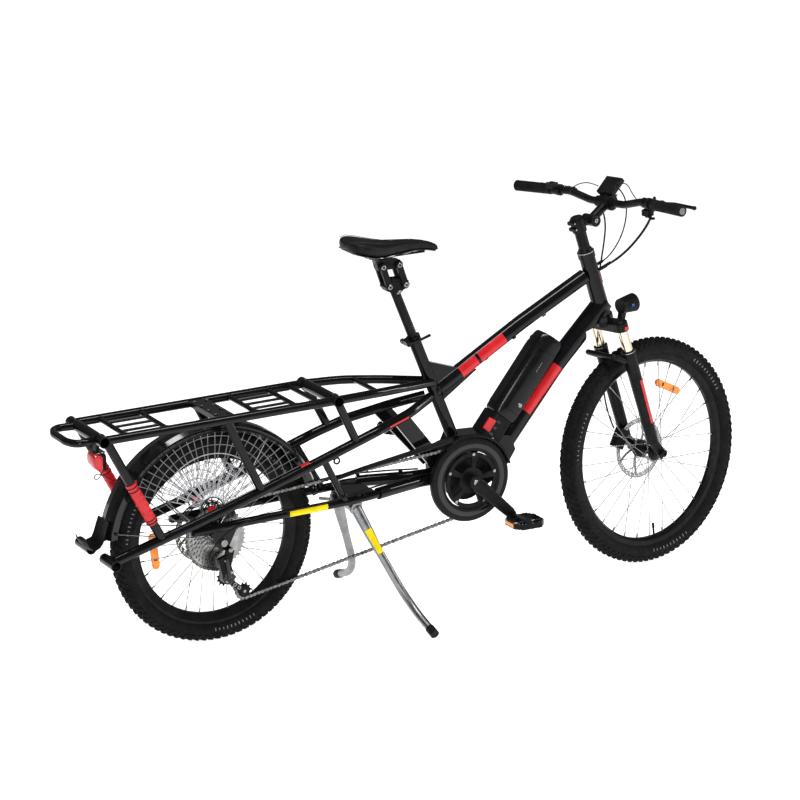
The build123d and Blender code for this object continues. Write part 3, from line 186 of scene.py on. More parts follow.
BLACK = (0.003, 0.003, 0.0035)
LOOKS = {
    "frame_paint": finish("frame_paint", BLACK, (0.005, 0.005, 0.006), (0.10, 0.17), grain=260, bump=0.05,
                          depth=0.0004, Coat_Weight=0.2, Coat_Roughness=0.04),
    "black_alloy": finish("black_alloy", (0.008, 0.008, 0.009), (0.014, 0.014, 0.015), (0.3, 0.42), grain=2600,
                          bump=0.12, depth=0.0002, Metallic=0.55),
    "silver_alloy": finish("silver_alloy", (0.20, 0.205, 0.21), (0.27, 0.275, 0.28), (0.3, 0.44), grain=1500,
                           bump=0.15, depth=0.0003, Metallic=1.0),
    "steel": finish("steel", (0.20, 0.197, 0.19), (0.32, 0.32, 0.315), (0.2, 0.34), grain=1800, bump=0.12,
                    depth=0.0002, Metallic=1.0),
    "battery_skin": finish("battery_skin", (0.003, 0.003, 0.0035), (0.006, 0.006, 0.007), (0.2, 0.3), grain=900,
                           bump=0.08, depth=0.0003, Coat_Weight=0.35, Coat_Roughness=0.12),
    "chain_steel": finish("chain_steel", (0.06, 0.056, 0.052), (0.22, 0.21, 0.20), (0.25, 0.4), grain=1800,
                          bump=0.2, depth=0.0002, patches=160, Metallic=1.0),
    "net_cord": finish("net_cord", (0.42, 0.42, 0.44), (0.6, 0.6, 0.62), (0.35, 0.5), grain=1500, bump=0.25,
                       depth=0.0003),
    "nickel": finish("nickel", (0.70, 0.60, 0.46), (0.78, 0.69, 0.56), (0.10, 0.18), grain=2400, bump=0.05,
                     depth=0.0001, Metallic=1.0),
    "tyre_rubber": finish("tyre_rubber", (0.004, 0.004, 0.004), (0.008, 0.0078, 0.0075), (0.62, 0.8), grain=1300,
                          bump=0.5, depth=0.0006),
    "rubber": finish("rubber", (0.005, 0.005, 0.005), (0.009, 0.009, 0.009), (0.5, 0.66), grain=1600, bump=0.4,
                     depth=0.0004),
    "black_plastic": finish("black_plastic", (0.005, 0.005, 0.0055), (0.008, 0.008, 0.009), (0.32, 0.46),
                            grain=1900, bump=0.25, depth=0.0003),
    "gloss_plastic": finish("gloss_plastic", (0.003, 0.003, 0.0035), (0.006, 0.006, 0.007), (0.12, 0.22),
                            grain=300, bump=0.05, depth=0.0004, Coat_Weight=0.6, Coat_Roughness=0.08),
    "grey_plastic": finish("grey_plastic", (0.16, 0.16, 0.17), (0.26, 0.26, 0.27), (0.4, 0.55), grain=1500,
                           bump=0.25, depth=0.0003),
    "saddle_skin": finish("saddle_skin", (0.005, 0.005, 0.0055), (0.009, 0.009, 0.0095), (0.36, 0.5), grain=900,
                          bump=0.35, depth=0.0005, pattern="cells"),
    "hose": finish("hose", (0.005, 0.005, 0.005), (0.009, 0.009, 0.009), (0.34, 0.46), grain=2200, bump=0.2,
                   depth=0.0002),
    "orange_lens": finish("orange_lens", (0.82, 0.20, 0.005), (0.95, 0.30, 0.01), (0.16, 0.26), grain=420,
                          bump=0.7, depth=0.0008, pattern="cells", Coat_Weight=0.8),
    "red_lens": finish("red_lens", (0.55, 0.01, 0.02), (0.72, 0.02, 0.02), (0.12, 0.2), grain=380, bump=0.7,
                       depth=0.0008, pattern="cells", Coat_Weight=0.8),
    "red_trim": finish("red_trim", (0.52, 0.010, 0.014), (0.6, 0.015, 0.02), (0.3, 0.42), grain=900, bump=0.1,
                       depth=0.0002, Coat_Weight=0.5),
    "yellow_trim": finish("yellow_trim", (0.78, 0.60, 0.005), (0.88, 0.70, 0.01), (0.35, 0.48), grain=900,
                          bump=0.1, depth=0.0002),
    "grey_print": finish("grey_print", (0.16, 0.16, 0.16), (0.22, 0.22, 0.22), (0.6, 0.75), grain=1300,
                         bump=0.3, depth=0.0003),
    "clear_lens": finish("clear_lens", (0.75, 0.78, 0.80), (0.85, 0.87, 0.9), (0.05, 0.1), grain=300, bump=0.3,
                         depth=0.0006, pattern="cells", Transmission_Weight=0.6, IOR=1.45),
    "blue_print": finish("blue_print", (0.02, 0.10, 0.42), (0.03, 0.16, 0.55), (0.3, 0.4), bump=0.1),
}


# ---------------------------------------------------------------- mesh helpers
def square(direction, axis):
    """The part of a direction that is square to an axis, of length 1."""
    return (direction - axis * direction.dot(axis)).normalized()


def collar(inner, outer, low, high):
    """Profile of a flat ring for lathe(), between two radii and two offsets."""
    return [(inner, low), (outer, low), (outer, high), (inner, high)]


class Shape:
    """Collects rods, lathed forms, blocks and plates into one mesh.

    Places are in metres. Radii, profiles, sizes and bevels are in millimetres, unless unit says otherwise.
    """

    def __init__(self):
        self.mesh = bmesh.new()

    def loops(self, rings, closed=False, caps=True):
        """Skins a list of rings of points."""
        made = [[self.mesh.verts.new(p) for p in ring] for ring in rings]
        pairs = list(zip(made, made[1:])) + ([(made[-1], made[0])] if closed else [])
        for a, b in pairs:
            count = len(a)
            for i in range(count):
                self.mesh.faces.new((a[i], a[(i + 1) % count], b[(i + 1) % count], b[i]))
        if caps and not closed:
            self.mesh.faces.new(list(reversed(made[0])))
            self.mesh.faces.new(made[-1])
        return self

    def tube(self, points, radius, sides=12, closed=False, unit=MM):
        """Round bar along points; radius is one number or one for each point."""
        points = [Vector(p) for p in points]
        radii = radius if isinstance(radius, (list, tuple)) else [radius] * len(points)
        radii = [r * unit for r in radii]
        rings, side = [], None
        count = len(points)
        for i, p in enumerate(points):
            before = points[i - 1] if i > 0 or closed else p
            after = points[(i + 1) % count] if i < count - 1 or closed else p
            along = (after - before).normalized()
            if side is None:
                side = along.orthogonal().normalized()
            side = square(side, along)
            up = along.cross(side)
            rings.append([p + (side * cos(a) + up * sin(a)) * radii[i]
                          for a in (tau * k / sides for k in range(sides))])
        return self.loops(rings, closed)

    def lathe(self, profile, centre, axis, steps=48, closed=True, unit=MM):
        """Turns (radius, offset) pairs about an axis; a closed profile makes a ring, an open one has end caps."""
        axis = Vector(axis).normalized()
        side = axis.orthogonal().normalized()
        up = axis.cross(side)
        rings = []
        for r, offset in profile:
            r, offset = r * unit, offset * unit
            rings.append([Vector(centre) + axis * offset + (side * cos(a) + up * sin(a)) * r
                          for a in (tau * k / steps for k in range(steps))])
        return self.loops(rings, closed)

    def block(self, centre, size, x_dir=(1, 0, 0), z_dir=(0, 0, 1), taper=1.0, unit=MM):
        """Box about a centre, its top face scaled by taper."""
        size = [length * unit for length in size]
        x = Vector(x_dir).normalized()
        z = Vector(z_dir)
        z = square(z, x)
        y = z.cross(x)
        rings = []
        for end, scale in ((-0.5, 1.0), (0.5, taper)):
            rings.append([Vector(centre) + z * size[2] * end + x * size[0] * a * scale + y * size[1] * b * scale
                          for a, b in ((-0.5, -0.5), (0.5, -0.5), (0.5, 0.5), (-0.5, 0.5))])
        return self.loops(rings)

    def plate(self, points, thickness):
        """Flat plate from a list of points in order, thickened along a vector."""
        points = [Vector(p) for p in points]
        half = Vector(thickness) * 0.5
        return self.loops([[p - half for p in points], [p + half for p in points]])

    def polar(self, centre, axis, radii, steps, thickness, keep=None):
        """Flat ring in cells, all in metres; cells for which keep(radius, angle) is false stay open."""
        axis = Vector(axis).normalized()
        side = Vector((1, 0, 0))
        side = square(side, axis)
        up = side.cross(axis)
        cells = {(i, k): keep is None or keep(0.5 * (radii[i] + radii[i + 1]), tau * (k + 0.5) / steps)
                 for i in range(len(radii) - 1) for k in range(steps)}
        verts = [{}, {}]

        def vert(level, key):
            if key not in verts[level]:
                a = tau * key[1] / steps
                place = (Vector(centre) + axis * thickness * (level - 0.5)
                         + (side * cos(a) + up * sin(a)) * radii[key[0]])
                verts[level][key] = self.mesh.verts.new(place)
            return verts[level][key]

        for (i, k), kept in cells.items():
            if not kept:
                continue
            after = (k + 1) % steps
            ring = [(i, k), (i + 1, k), (i + 1, after), (i, after)]
            self.mesh.faces.new([vert(0, c) for c in reversed(ring)])
            self.mesh.faces.new([vert(1, c) for c in ring])
            neighbours = [(i, (k - 1) % steps), (i + 1, k), (i, after), (i - 1, k)]
            for neighbour, a, b in zip(neighbours, ring, ring[1:] + ring[:1]):
                if not cells.get(neighbour, False):
                    self.mesh.faces.new([vert(0, a), vert(0, b), vert(1, b), vert(1, a)])
        return self

    def piece(self, name, look, body="frame", replaces=(), bevel=0.0, smooth=38.0, levels=0, slot=None):
        bmesh.ops.recalc_face_normals(self.mesh, faces=self.mesh.faces)
        data = bpy.data.meshes.new(name)
        self.mesh.to_mesh(data)
        self.mesh.free()
        made = bpy.data.objects.new(name, data)
        bpy.context.scene.collection.objects.link(made)
        data.materials.append(LOOKS[look])
        if bevel:
            soften(made, bevel * MM)
        if levels:
            rounder = made.modifiers.new("round", "SUBSURF")
            rounder.levels = rounder.render_levels = levels
        for face in data.polygons:
            face.use_smooth = True
        data.set_sharp_from_angle(angle=radians(smooth))
        if body:
            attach(made, body)
        if replaces:
            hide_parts(*replaces)
        slot = slot or look
        return made


def soften(made, width, segments=2):
    """Rounds the sharp edges of a piece."""
    edge = made.modifiers.new("soften", "BEVEL")
    edge.width = width
    edge.segments = segments
    edge.limit_method = "ANGLE"
    edge.angle_limit = radians(35)
    edge.harden_normals = False


# ---------------------------------------------------------------- CAD nodes that stay
def dress_cad_nodes():
    """Gives every CAD node the finish of its slot."""
    for name, node in frame["nodes"].items():
        node.data.materials.clear()
        node.data.materials.append(LOOKS[SLOT_OF[name]])
        for face in node.data.polygons:
            face.use_smooth = True
        node.data.set_sharp_from_angle(angle=radians(32))


dress_cad_nodes()

# ---------------------------------------------------------------- wheels
def reach(node, centre, axis):
    """Smallest and largest distance of a node from an axis."""
    far = [(v.co - centre) - axis * (v.co - centre).dot(axis) for v in frame["nodes"][node].data.vertices]
    lengths = [offset.length for offset in far]
    return min(lengths), max(lengths)


def around(centre, axis, radius, angle, offset=0.0):
    """Point at a radius and an angle (from forward, upwards) about a wheel's axis."""
    side = Vector((1, 0, 0))
    side = square(side, axis)
    up = side.cross(axis)
    return centre + axis * offset + (side * cos(angle) + up * sin(angle)) * radius


TYRE_SECTION = 29.5 * MM
KNOB_HEIGHT = 2.8 * MM
KNOB_ROWS = ((-64, 8.5, 0.5), (-40, 8.0, 0.0), (-15, 9.0, 0.5), (13, 9.0, 0.0), (38, 8.0, 0.5), (62, 8.5, 0.0))


def make_tyre(name, node, body, centre, axis, knobs):
    """Casing with rows of tread blocks and plain grey marks on its sides."""
    outer = reach(node, centre, axis)[1]
    middle = outer - TYRE_SECTION
    section = TYRE_SECTION - KNOB_HEIGHT
    casing = Shape()
    profile = [(middle + section * cos(radians(a)), section * sin(radians(a)) * 0.98) for a in range(-148, 149, 8)]
    casing.lathe(profile, centre, axis, 128, unit=1)
    for i in range(knobs):
        for row_angle, width, shift in KNOB_ROWS:
            angle = tau * (i + shift) / knobs
            lean = radians(row_angle)
            radius = middle + (section + KNOB_HEIGHT * 0.35) * cos(lean)
            offset = (section + KNOB_HEIGHT * 0.35) * sin(lean)
            place = around(centre, axis, radius, angle, offset)
            outwards = (around(centre, axis, 1, angle) - centre) * cos(lean) + axis * sin(lean)
            along = around(centre, axis, 1, angle + pi / 2) - centre
            along = along + axis * (0.35 if row_angle > 0 else -0.35) * (abs(row_angle) < 50)
            size = (11.5 * MM, width * MM, KNOB_HEIGHT * 1.3)
            casing.block(place, size, along, outwards, 0.78, unit=1)
    casing.piece(name, "tyre_rubber", body, replaces=[node], smooth=42)
    marks = Shape()
    for side in (-1, 1):
        for group in range(3):
            for k in range(11):
                angle = tau * group / 3 + radians(2.6) * k + 0.5
                lean = radians(104 * side)
                spot = around(centre, axis, middle + section * cos(lean), angle, section * sin(lean))
                outwards = (around(centre, axis, 1, angle) - centre) * cos(lean) + axis * sin(lean)
                marks.block(spot, (2.6, 7 if k % 3 else 9, 0.6), around(centre, axis, 1, angle + pi / 2) - centre,
                            outwards)
    marks.piece(name + "_marks", "grey_print", body, slot="tyre_rubber")


ROTOR_THICK = 1.9 * MM
ROTOR_RADII = [r * MM for r in (75.5, 78, 80, 82.5, 84.5, 87, 90)]
ROTOR_STEPS = 150


def rotor_cell(radius, angle):
    """Leaves slots in the brake track."""
    cell = int(round(angle / tau * ROTOR_STEPS - 0.5))
    row = sum(radius > edge for edge in ROTOR_RADII) - 1
    if row == 1:
        return cell % 5 not in (0, 1)
    if row == 3:
        return cell % 5 not in (1, 2)
    if row == 4:
        return cell % 5 != 3
    return True


def make_rotor(name, body, centre, axis, offset, lean):
    """Slotted brake disc on six curved arms."""
    disc = Shape()
    spot = centre + axis * offset
    disc.polar(spot, axis, ROTOR_RADII, ROTOR_STEPS, ROTOR_THICK, rotor_cell)
    disc.piece(name, "steel", body, bevel=0.2)
    carrier = Shape()
    carrier.polar(spot, axis, [20 * MM, 27 * MM], 60, 2.2 * MM)
    for i in range(6):
        start = tau * i / 6
        points = [around(spot, axis, r * MM, start + lean * (r - 24) / 53) for r in (24, 38, 52, 66, 78)]
        for a, b in zip(points, points[1:]):
            carrier.block((a + b) / 2, ((b - a).length * 1.1, 7 * MM, 2.1 * MM), b - a, axis, unit=1)
        bolt = around(spot, axis, 22 * MM, start + 0.5)
        carrier.tube([bolt, bolt + axis * 3 * MM], 3.6, 6)
    carrier.piece(name + "_carrier", "silver_alloy", body, bevel=0.3)


def make_hub(name, node, body, centre, axis, profile):
    """Waisted hub shell with its flanges."""
    shell = Shape().lathe(profile, centre, axis, 64)
    shell.piece(name, "black_alloy", body, replaces=[node], bevel=0.4)


HUB_REAR = ((7, -18.3), (14, -18.3), (26.5, -18.2), (26.5, -14), (21, -12), (16.5, 2), (16.5, 14), (21, 26),
            (26.5, 28), (26.5, 32), (21, 34), (21, 49.6), (7, 49.6))
HUB_FRONT = ((7, -47.8), (13, -47.8), (16, -36), (26.5, -34), (26.5, -30), (17, -26), (12.5, -6), (12.5, 4),
             (19, 20), (26.5, 22), (26.5, 26), (20, 28), (20, 38), (12, 40), (12, 47.8), (7, 47.8))
SPOKE_COUNT = 32


def make_nipples(name, body, centre, axis, radius):
    """Plated nipple at each spoke's rim end."""
    shape = Shape()
    for i in range(SPOKE_COUNT):
        angle = tau * i / SPOKE_COUNT
        shape.tube([around(centre, axis, radius - 13 * MM, angle), around(centre, axis, radius, angle)], [1.7, 2.3],
                   8)
    shape.piece(name, "steel", body)


def make_valve(name, body, centre, axis, radius, angle):
    """Tyre valve that points from the rim to the hub."""
    shape = Shape()
    start = around(centre, axis, radius + 2 * MM, angle)
    middle = around(centre, axis, radius - 22 * MM, angle)
    end = around(centre, axis, radius - 36 * MM, angle)
    shape.tube([start, middle], 3, 12).tube([middle, end], 4, 12)
    shape.piece(name, "rubber", body)


REFLECTOR_LENGTH = 104 * MM
REFLECTOR_DEPTH = 3.2 * MM


def make_reflector(name, body, centre, axis, radius, angle):
    """Long plate with cut corners on both sides of the spokes, held by two clips."""
    spot = around(centre, axis, radius, angle)
    out = (around(centre, axis, 1, angle) - centre)
    along = out.cross(axis)
    half, wide, corner = REFLECTOR_LENGTH / 2, 11 * MM, 9 * MM
    outline = [(-half, -wide * 0.45), (-half + corner, -wide), (half - corner, -wide), (half, -wide * 0.45),
               (half, wide * 0.45), (half - corner, wide), (-half + corner, wide), (-half, wide * 0.45)]
    for sign in (1, -1):
        plate = Shape()
        points = [spot + along * x + out * y + axis * sign * 2.4 * MM for x, y in outline]
        plate.plate(points, axis * REFLECTOR_DEPTH)
        plate.piece(f"{name}_{'left' if sign > 0 else 'right'}", "orange_lens", body, bevel=1.0)
    clips = Shape()
    for x in (-half * 0.45, half * 0.45):
        clips.block(spot + along * x, (6, 10, 9), along, axis)
    clips.piece(name + "_clips", "black_plastic", body, bevel=0.5)


def make_wheels():
    """Both wheels: knobs, hub, disc offset, valve angle, and the reflector's radius and angle."""
    for name, centre, axis, knobs, hub, disc, valve, radius, angle in (
            ("rear", REAR, ACROSS, 84, HUB_REAR, 47, 64, 176, 186),
            ("front", FRONT, FRONT_ACROSS, 94, HUB_FRONT, 37, -86, 196, 64)):
        wheel = (f"{name}_wheel", centre, axis)
        rim_inner = reach(f"{name}_rim", centre, axis)[0]
        make_tyre(f"{name}_tyre_tread", f"{name}_tyre", *wheel, knobs)
        make_hub(f"{name}_hub_shell", f"{name}_hub", *wheel, hub)
        make_rotor(f"{name}_rotor", *wheel, disc * MM, 0.35)
        make_nipples(f"{name}_nipples", *wheel, rim_inner)
        make_valve(f"{name}_valve", *wheel, rim_inner, radians(valve))
        make_reflector(f"{name}_reflector", *wheel, radius * MM, radians(angle))


make_wheels()


# ---------------------------------------------------------------- drive
PITCH = 12.7 * MM
RING_TEETH, COG_TEETH, PULLEY_TEETH = 50, 44, 11


def pitch_radius(teeth):
    """Radius of the pins' circle on a sprocket."""
    return PITCH / (2 * sin(pi / teeth))


UPPER = pivot("upper_jockey_spin")
LOWER = pivot("lower_jockey_spin")
RING_Y = -48 * MM
COG_Y = -29 * MM


def belt(circles):
    """Closed path round circles of (centre, radius, direction), each left by its tangent to the next."""
    points, count = [], len(circles)
    spans = []
    for i in range(count):
        (c1, r1, s1), (c2, r2, s2) = circles[i], circles[(i + 1) % count]
        dx, dz = c2.x - c1.x, c2.z - c1.z
        length, base = hypot(dx, dz), atan2(dz, dx)
        lift = asin((s1 * r1 - s2 * r2) / length)
        angle = base + lift - pi / 2
        leave = (c1.x + s1 * r1 * cos(angle), c1.z + s1 * r1 * sin(angle))
        reach_in = (c2.x + s2 * r2 * cos(angle), c2.z + s2 * r2 * sin(angle))
        spans.append((leave, reach_in))
    for i in range(count):
        centre, r, s = circles[i]
        arrive, leave = spans[i - 1][1], spans[i][0]
        start = atan2(arrive[1] - centre.z, arrive[0] - centre.x)
        end = atan2(leave[1] - centre.z, leave[0] - centre.x)
        sweep = (end - start) % tau if s > 0 else -((start - end) % tau)
        steps = max(3, int(abs(sweep) / 0.09))
        for k in range(steps + 1):
            a = start + sweep * k / steps
            points.append(Vector((centre.x + r * cos(a), centre.y, centre.z + r * sin(a))))
    return points


def walk(points, step_count):
    """Evenly spaced points along a closed path."""
    closed = points + [points[0]]
    lengths = [(b - a).length for a, b in zip(closed, closed[1:])]
    total, found, i, done = sum(lengths), [], 0, 0.0
    for k in range(step_count):
        target = total * k / step_count
        while done + lengths[i] < target:
            done += lengths[i]
            i += 1
        share = (target - done) / lengths[i] if lengths[i] else 0
        found.append(closed[i].lerp(closed[i + 1], share))
    return found


def path_length(points):
    """Length of a closed path."""
    return sum((b - a).length for a, b in zip(points, points[1:] + points[:1]))


# share of the pitch and half height along one edge of a side plate
LINK_EDGE = ((-0.34, 2.2), (-0.1, 4.3), (0.16, 4.3), (0.5, 2.6), (0.84, 4.3), (1.1, 4.3), (1.34, 2.2))


def make_chain():
    """Chain of waisted side plates and rollers round the ring, the cog and both jockey wheels."""
    ring = Vector((CRANK.x, REAR.y + RING_Y, CRANK.z))
    cog = Vector((REAR.x, REAR.y + COG_Y, REAR.z))
    route = belt([(ring, pitch_radius(RING_TEETH), 1), (cog, pitch_radius(COG_TEETH), 1),
                  (UPPER, pitch_radius(PULLEY_TEETH), -1), (LOWER, pitch_radius(PULLEY_TEETH), 1)])
    count = int(round(path_length(route) / PITCH / 2)) * 2
    pins = walk(route, count)
    shape = Shape()
    for i in range(count):
        a, b = pins[i], pins[(i + 1) % count]
        along = (b - a).normalized()
        across = square(ACROSS, along)
        up = across.cross(along)
        gap = 3.2 * MM if i % 2 else 1.9 * MM
        length = (b - a).length
        for side in (-1, 1):
            outline = [a + along * length * share + up * height * sign * MM
                       for sign, edge in ((1, LINK_EDGE), (-1, LINK_EDGE[::-1])) for share, height in edge]
            shape.plate([p + across * gap * side for p in outline], across * 0.9 * MM)
        shape.tube([a - across * 3.6 * MM, a + across * 3.6 * MM], 1.8, 8)
        shape.tube([a - across * 1.4 * MM, a + across * 1.4 * MM], 3.6, 10)
    chain = shape.piece("chain_links", "chain_steel", None, replaces=["chain"], smooth=30, slot="steel")
    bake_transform(chain)


def toothed_ring(shape, centre, axis, teeth, inner, thickness, height=3.4 * MM):
    """Sprocket plate with rounded teeth between an inner radius and the tooth tips."""
    steps = teeth * 6
    root = pitch_radius(teeth) - height
    heights = (0, 0, 0.55, 1.0, 1.0, 0.55)
    outline_out = [around(centre, axis, root + 2 * height * heights[k % 6], tau * k / steps) for k in range(steps)]
    outline_in = [around(centre, axis, inner, tau * k / steps) for k in range(steps)]
    half = axis * thickness / 2
    rings = [[p - half for p in outline_in], [p - half for p in outline_out], [p + half for p in outline_out],
             [p + half for p in outline_in]]
    shape.loops(rings, closed=True)


def arm_profile(share):
    """Half width and half thickness of a crank arm along its length."""
    wide = 21 + (15 - 21) * share
    return wide * MM, (8.5 - 1.5 * share) * MM


def make_crank():
    """Wide tapered arms, spider with openings, toothed ring and bolts."""
    ring = Shape()
    toothed_ring(ring, Vector((CRANK.x, REAR.y + RING_Y, CRANK.z)), ACROSS, RING_TEETH, 84 * MM, 1.8 * MM)
    ring.piece("chainring_teeth", "steel", "crank", bevel=0.2)
    spider = Shape()
    face = Vector((CRANK.x, REAR.y - 66 * MM, CRANK.z))

    def open_spider(radius, angle):
        """Leaves five windows between the arms."""
        return radius > 70 * MM or radius < 38 * MM or (angle * 5 / tau) % 1.0 < 0.24

    spider.polar(face, ACROSS, [r * MM for r in (13, 28, 38, 48, 59, 70, 82)], 150, 5 * MM, open_spider)
    spider.piece("crank_spider", "black_alloy", "crank", bevel=1.0)
    bolts = Shape()
    for i in range(5):
        spot = around(face, ACROSS, 76 * MM, tau * (i + 0.18) / 5, -2 * MM)
        bolts.tube([spot, spot - ACROSS * 2.6 * MM], 5, 6)
    bolts.piece("chainring_bolts", "steel", "crank", bevel=0.5)
    for name, pedal, side in (("right", "right_pedal_spin", -1), ("left", "left_pedal_spin", 1)):
        eye = pivot(pedal)
        base = Vector((CRANK.x, REAR.y + 89 * MM * side, CRANK.z))
        tip = Vector((eye.x, REAR.y + 98.5 * MM * side, eye.z))
        along = (tip - base).normalized()
        out = square(ACROSS * side, along)
        up = along.cross(out)
        rings = []
        for k in range(15):
            share = -0.04 + 1.08 * k / 14
            wide, thick = arm_profile(min(max(share, 0), 1))
            wide *= 0.45 if k in (0, 14) else 0.85 if k in (1, 13) else 1.0
            centre = base.lerp(tip, share)
            outline = [(-1, -0.55), (-0.62, -1), (0.62, -1), (1, -0.55), (1, 0.45), (0.55, 1), (-0.55, 1),
                       (-1, 0.45)]
            rings.append([centre + up * wide * a + out * thick * b for a, b in outline])
        arm = Shape().loops(rings)
        arm.lathe([(19, -7), (19, 7)], base, ACROSS, 40, closed=False)
        arm.piece(f"{name}_crank_arm", "black_alloy", "crank", bevel=1.2, smooth=50)
        bolt = Shape()
        cap = base + ACROSS * side * 7 * MM
        bolt.lathe([(0.5, 1.5 * side), (7.5, 1.5 * side), (8.5, 0), (0.5, 0)], cap, ACROSS, 24)
        bolt.piece(f"{name}_crank_bolt", "steel", "crank")
    axle = Shape()
    axle.tube([Vector((CRANK.x, REAR.y - 84 * MM, CRANK.z)), Vector((CRANK.x, REAR.y + 84 * MM, CRANK.z))], 12, 32)
    axle.piece("crank_spindle", "steel", "crank", replaces=["crankset"])


def make_pedal(name, body, joint, side):
    """Cage pedal: outer frame, core, pins, axle and two reflectors."""
    eye = pivot(joint)
    start = REAR.y + 108 * MM * side
    middle = Vector((eye.x, start + 50 * MM * side, eye.z))
    half_x, half_y = 47 * MM, 46 * MM
    cage = Shape()
    corners = [(-0.62, -1), (0.62, -1), (1, -0.55), (1, 0.55), (0.62, 1), (-0.62, 1), (-1, 0.55), (-1, -0.55)]
    outline = [middle + Vector((half_x * a, half_y * b, 0)) for a, b in corners]
    for a, b in zip(outline, outline[1:] + outline[:1]):
        cage.block((a + b) / 2, ((b - a).length + 2 * MM, 3.5 * MM, 17 * MM), b - a, unit=1)
    cage.block(middle, (24, 2 * 46, 16))
    for y in (-0.45, 0.45):
        cage.block(middle + Vector((0, half_y * y, 0)), (2 * 47, 6, 13))
    cage.piece(name + "_cage", "black_alloy", body, bevel=0.8)
    pins = Shape()
    for a, b in zip(outline, outline[1:] + outline[:1]):
        for share in (0.12, 0.5, 0.88):
            spot = a.lerp(b, share)
            pins.tube([spot - Vector((0, 0, 9.9 * MM)), spot + Vector((0, 0, 9.9 * MM))], 1.7, 6)
    pins.piece(name + "_pins", "steel", body)
    axle = Shape()
    axle.tube([Vector((eye.x, REAR.y + 93 * MM * side, eye.z)), Vector((eye.x, middle.y, eye.z))], 6.8, 24)
    axle.tube([Vector((eye.x, REAR.y + 106 * MM * side, eye.z)), Vector((eye.x, middle.y, eye.z))], 9, 24)
    axle.piece(name + "_axle", "steel", body, replaces=[name], bevel=0.5)
    lenses = Shape()
    for end in (-1, 1):
        lenses.block(middle + Vector((half_x * 1.02 * end, 0, 0)), (3.5, 44, 11))
    lenses.piece(name + "_reflectors", "orange_lens", body, bevel=0.8)


def make_chain_guard():
    """Guard ring with its bead beside the chainring, and the bar and hood over the upper chain run."""
    face = Vector((CRANK.x, REAR.y - 62 * MM, CRANK.z))
    ring = Shape()
    profile = [(85, -1.6), (88, -2.4), (117, -2.4), (122, -1.2), (124.5, 2), (124.5, 14), (121.5, 14), (120, 2.6),
               (114, 1.8), (85, 1.8)]
    ring.lathe(profile, face, ACROSS, 96)
    ring.piece("chain_guard_ring", "black_plastic", replaces=["chain_guard"], bevel=0.4)
    groove = Shape()
    groove.lathe([(94, -2.7), (96, -3.1), (106, -3.1), (108, -2.7), (101, -2.2)], face, ACROSS, 96)
    groove.piece("chain_guard_bead", "gloss_plastic", slot="black_plastic")
    bar = Shape()
    route = [at(354, -66, 432), at(440, -66, 447), at(560, -66, 465), at(640, -66, 476), at(700, -66, 487)]
    bar.tube(route, [6.5, 7, 7.5, 8, 9], 16)
    bar.piece("chain_guard_bar", "black_plastic", smooth=60)
    hood = Shape()
    outer = [around(face, ACROSS, 133 * MM, radians(a)) for a in range(128, 11, -6)]
    inner = [around(face, ACROSS, 126 * MM, radians(a)) for a in range(128, 11, -6)]
    rings = []
    for p, q in zip(outer, inner):
        wide = ACROSS * 9 * MM
        rings.append([q - wide, p - wide * 0.7, p + wide * 1.2, q + wide * 1.6])
    hood.loops(rings)
    hood.block(at(703, -62, 486), (46, 16, 16), Vector((1, 0, 0.18)))
    hood.piece("chain_guard_hood", "black_plastic", bevel=1.5, smooth=50)


def make_motor_details():
    """Round covers and bolts on both sides of the drive unit."""
    cover = Shape()
    left = Vector((CRANK.x, REAR.y + 41 * MM, CRANK.z))
    profile = [(15, 2.5), (30, 3.5), (52, 2.8), (60, 0.5), (60, -3), (15, -3)]
    cover.lathe(profile, left, ACROSS, 72)
    cover.piece("motor_cover_left", "gloss_plastic", slot="black_plastic", bevel=0.4)
    right = Vector((CRANK.x, REAR.y - 37 * MM, CRANK.z))
    cap = Shape()
    cap.lathe([(15, -3), (26, -3), (30, -1.5), (44, -1.5), (56, -0.6), (58, 2), (15, 2)], right, ACROSS, 72)
    cap.piece("motor_cover_right", "black_plastic", bevel=0.4)
    bolts = Shape()
    for i in range(7):
        spot = around(left, ACROSS, 55 * MM, tau * i / 7 + 0.2, 2 * MM)
        bolts.tube([spot, spot + ACROSS * 3 * MM], 3.4, 6)
    for place in ((812, -34.5, 468), (870, -34.5, 462), (762, -34.5, 462)):
        spot = at(*place)
        bolts.tube([spot, spot - ACROSS * 5 * MM], 6, 6)
        spot = at(place[0], -place[1], place[2])
        bolts.tube([spot, spot + ACROSS * 5 * MM], 6, 6)
    bolts.piece("motor_bolts", "steel", bevel=0.4)


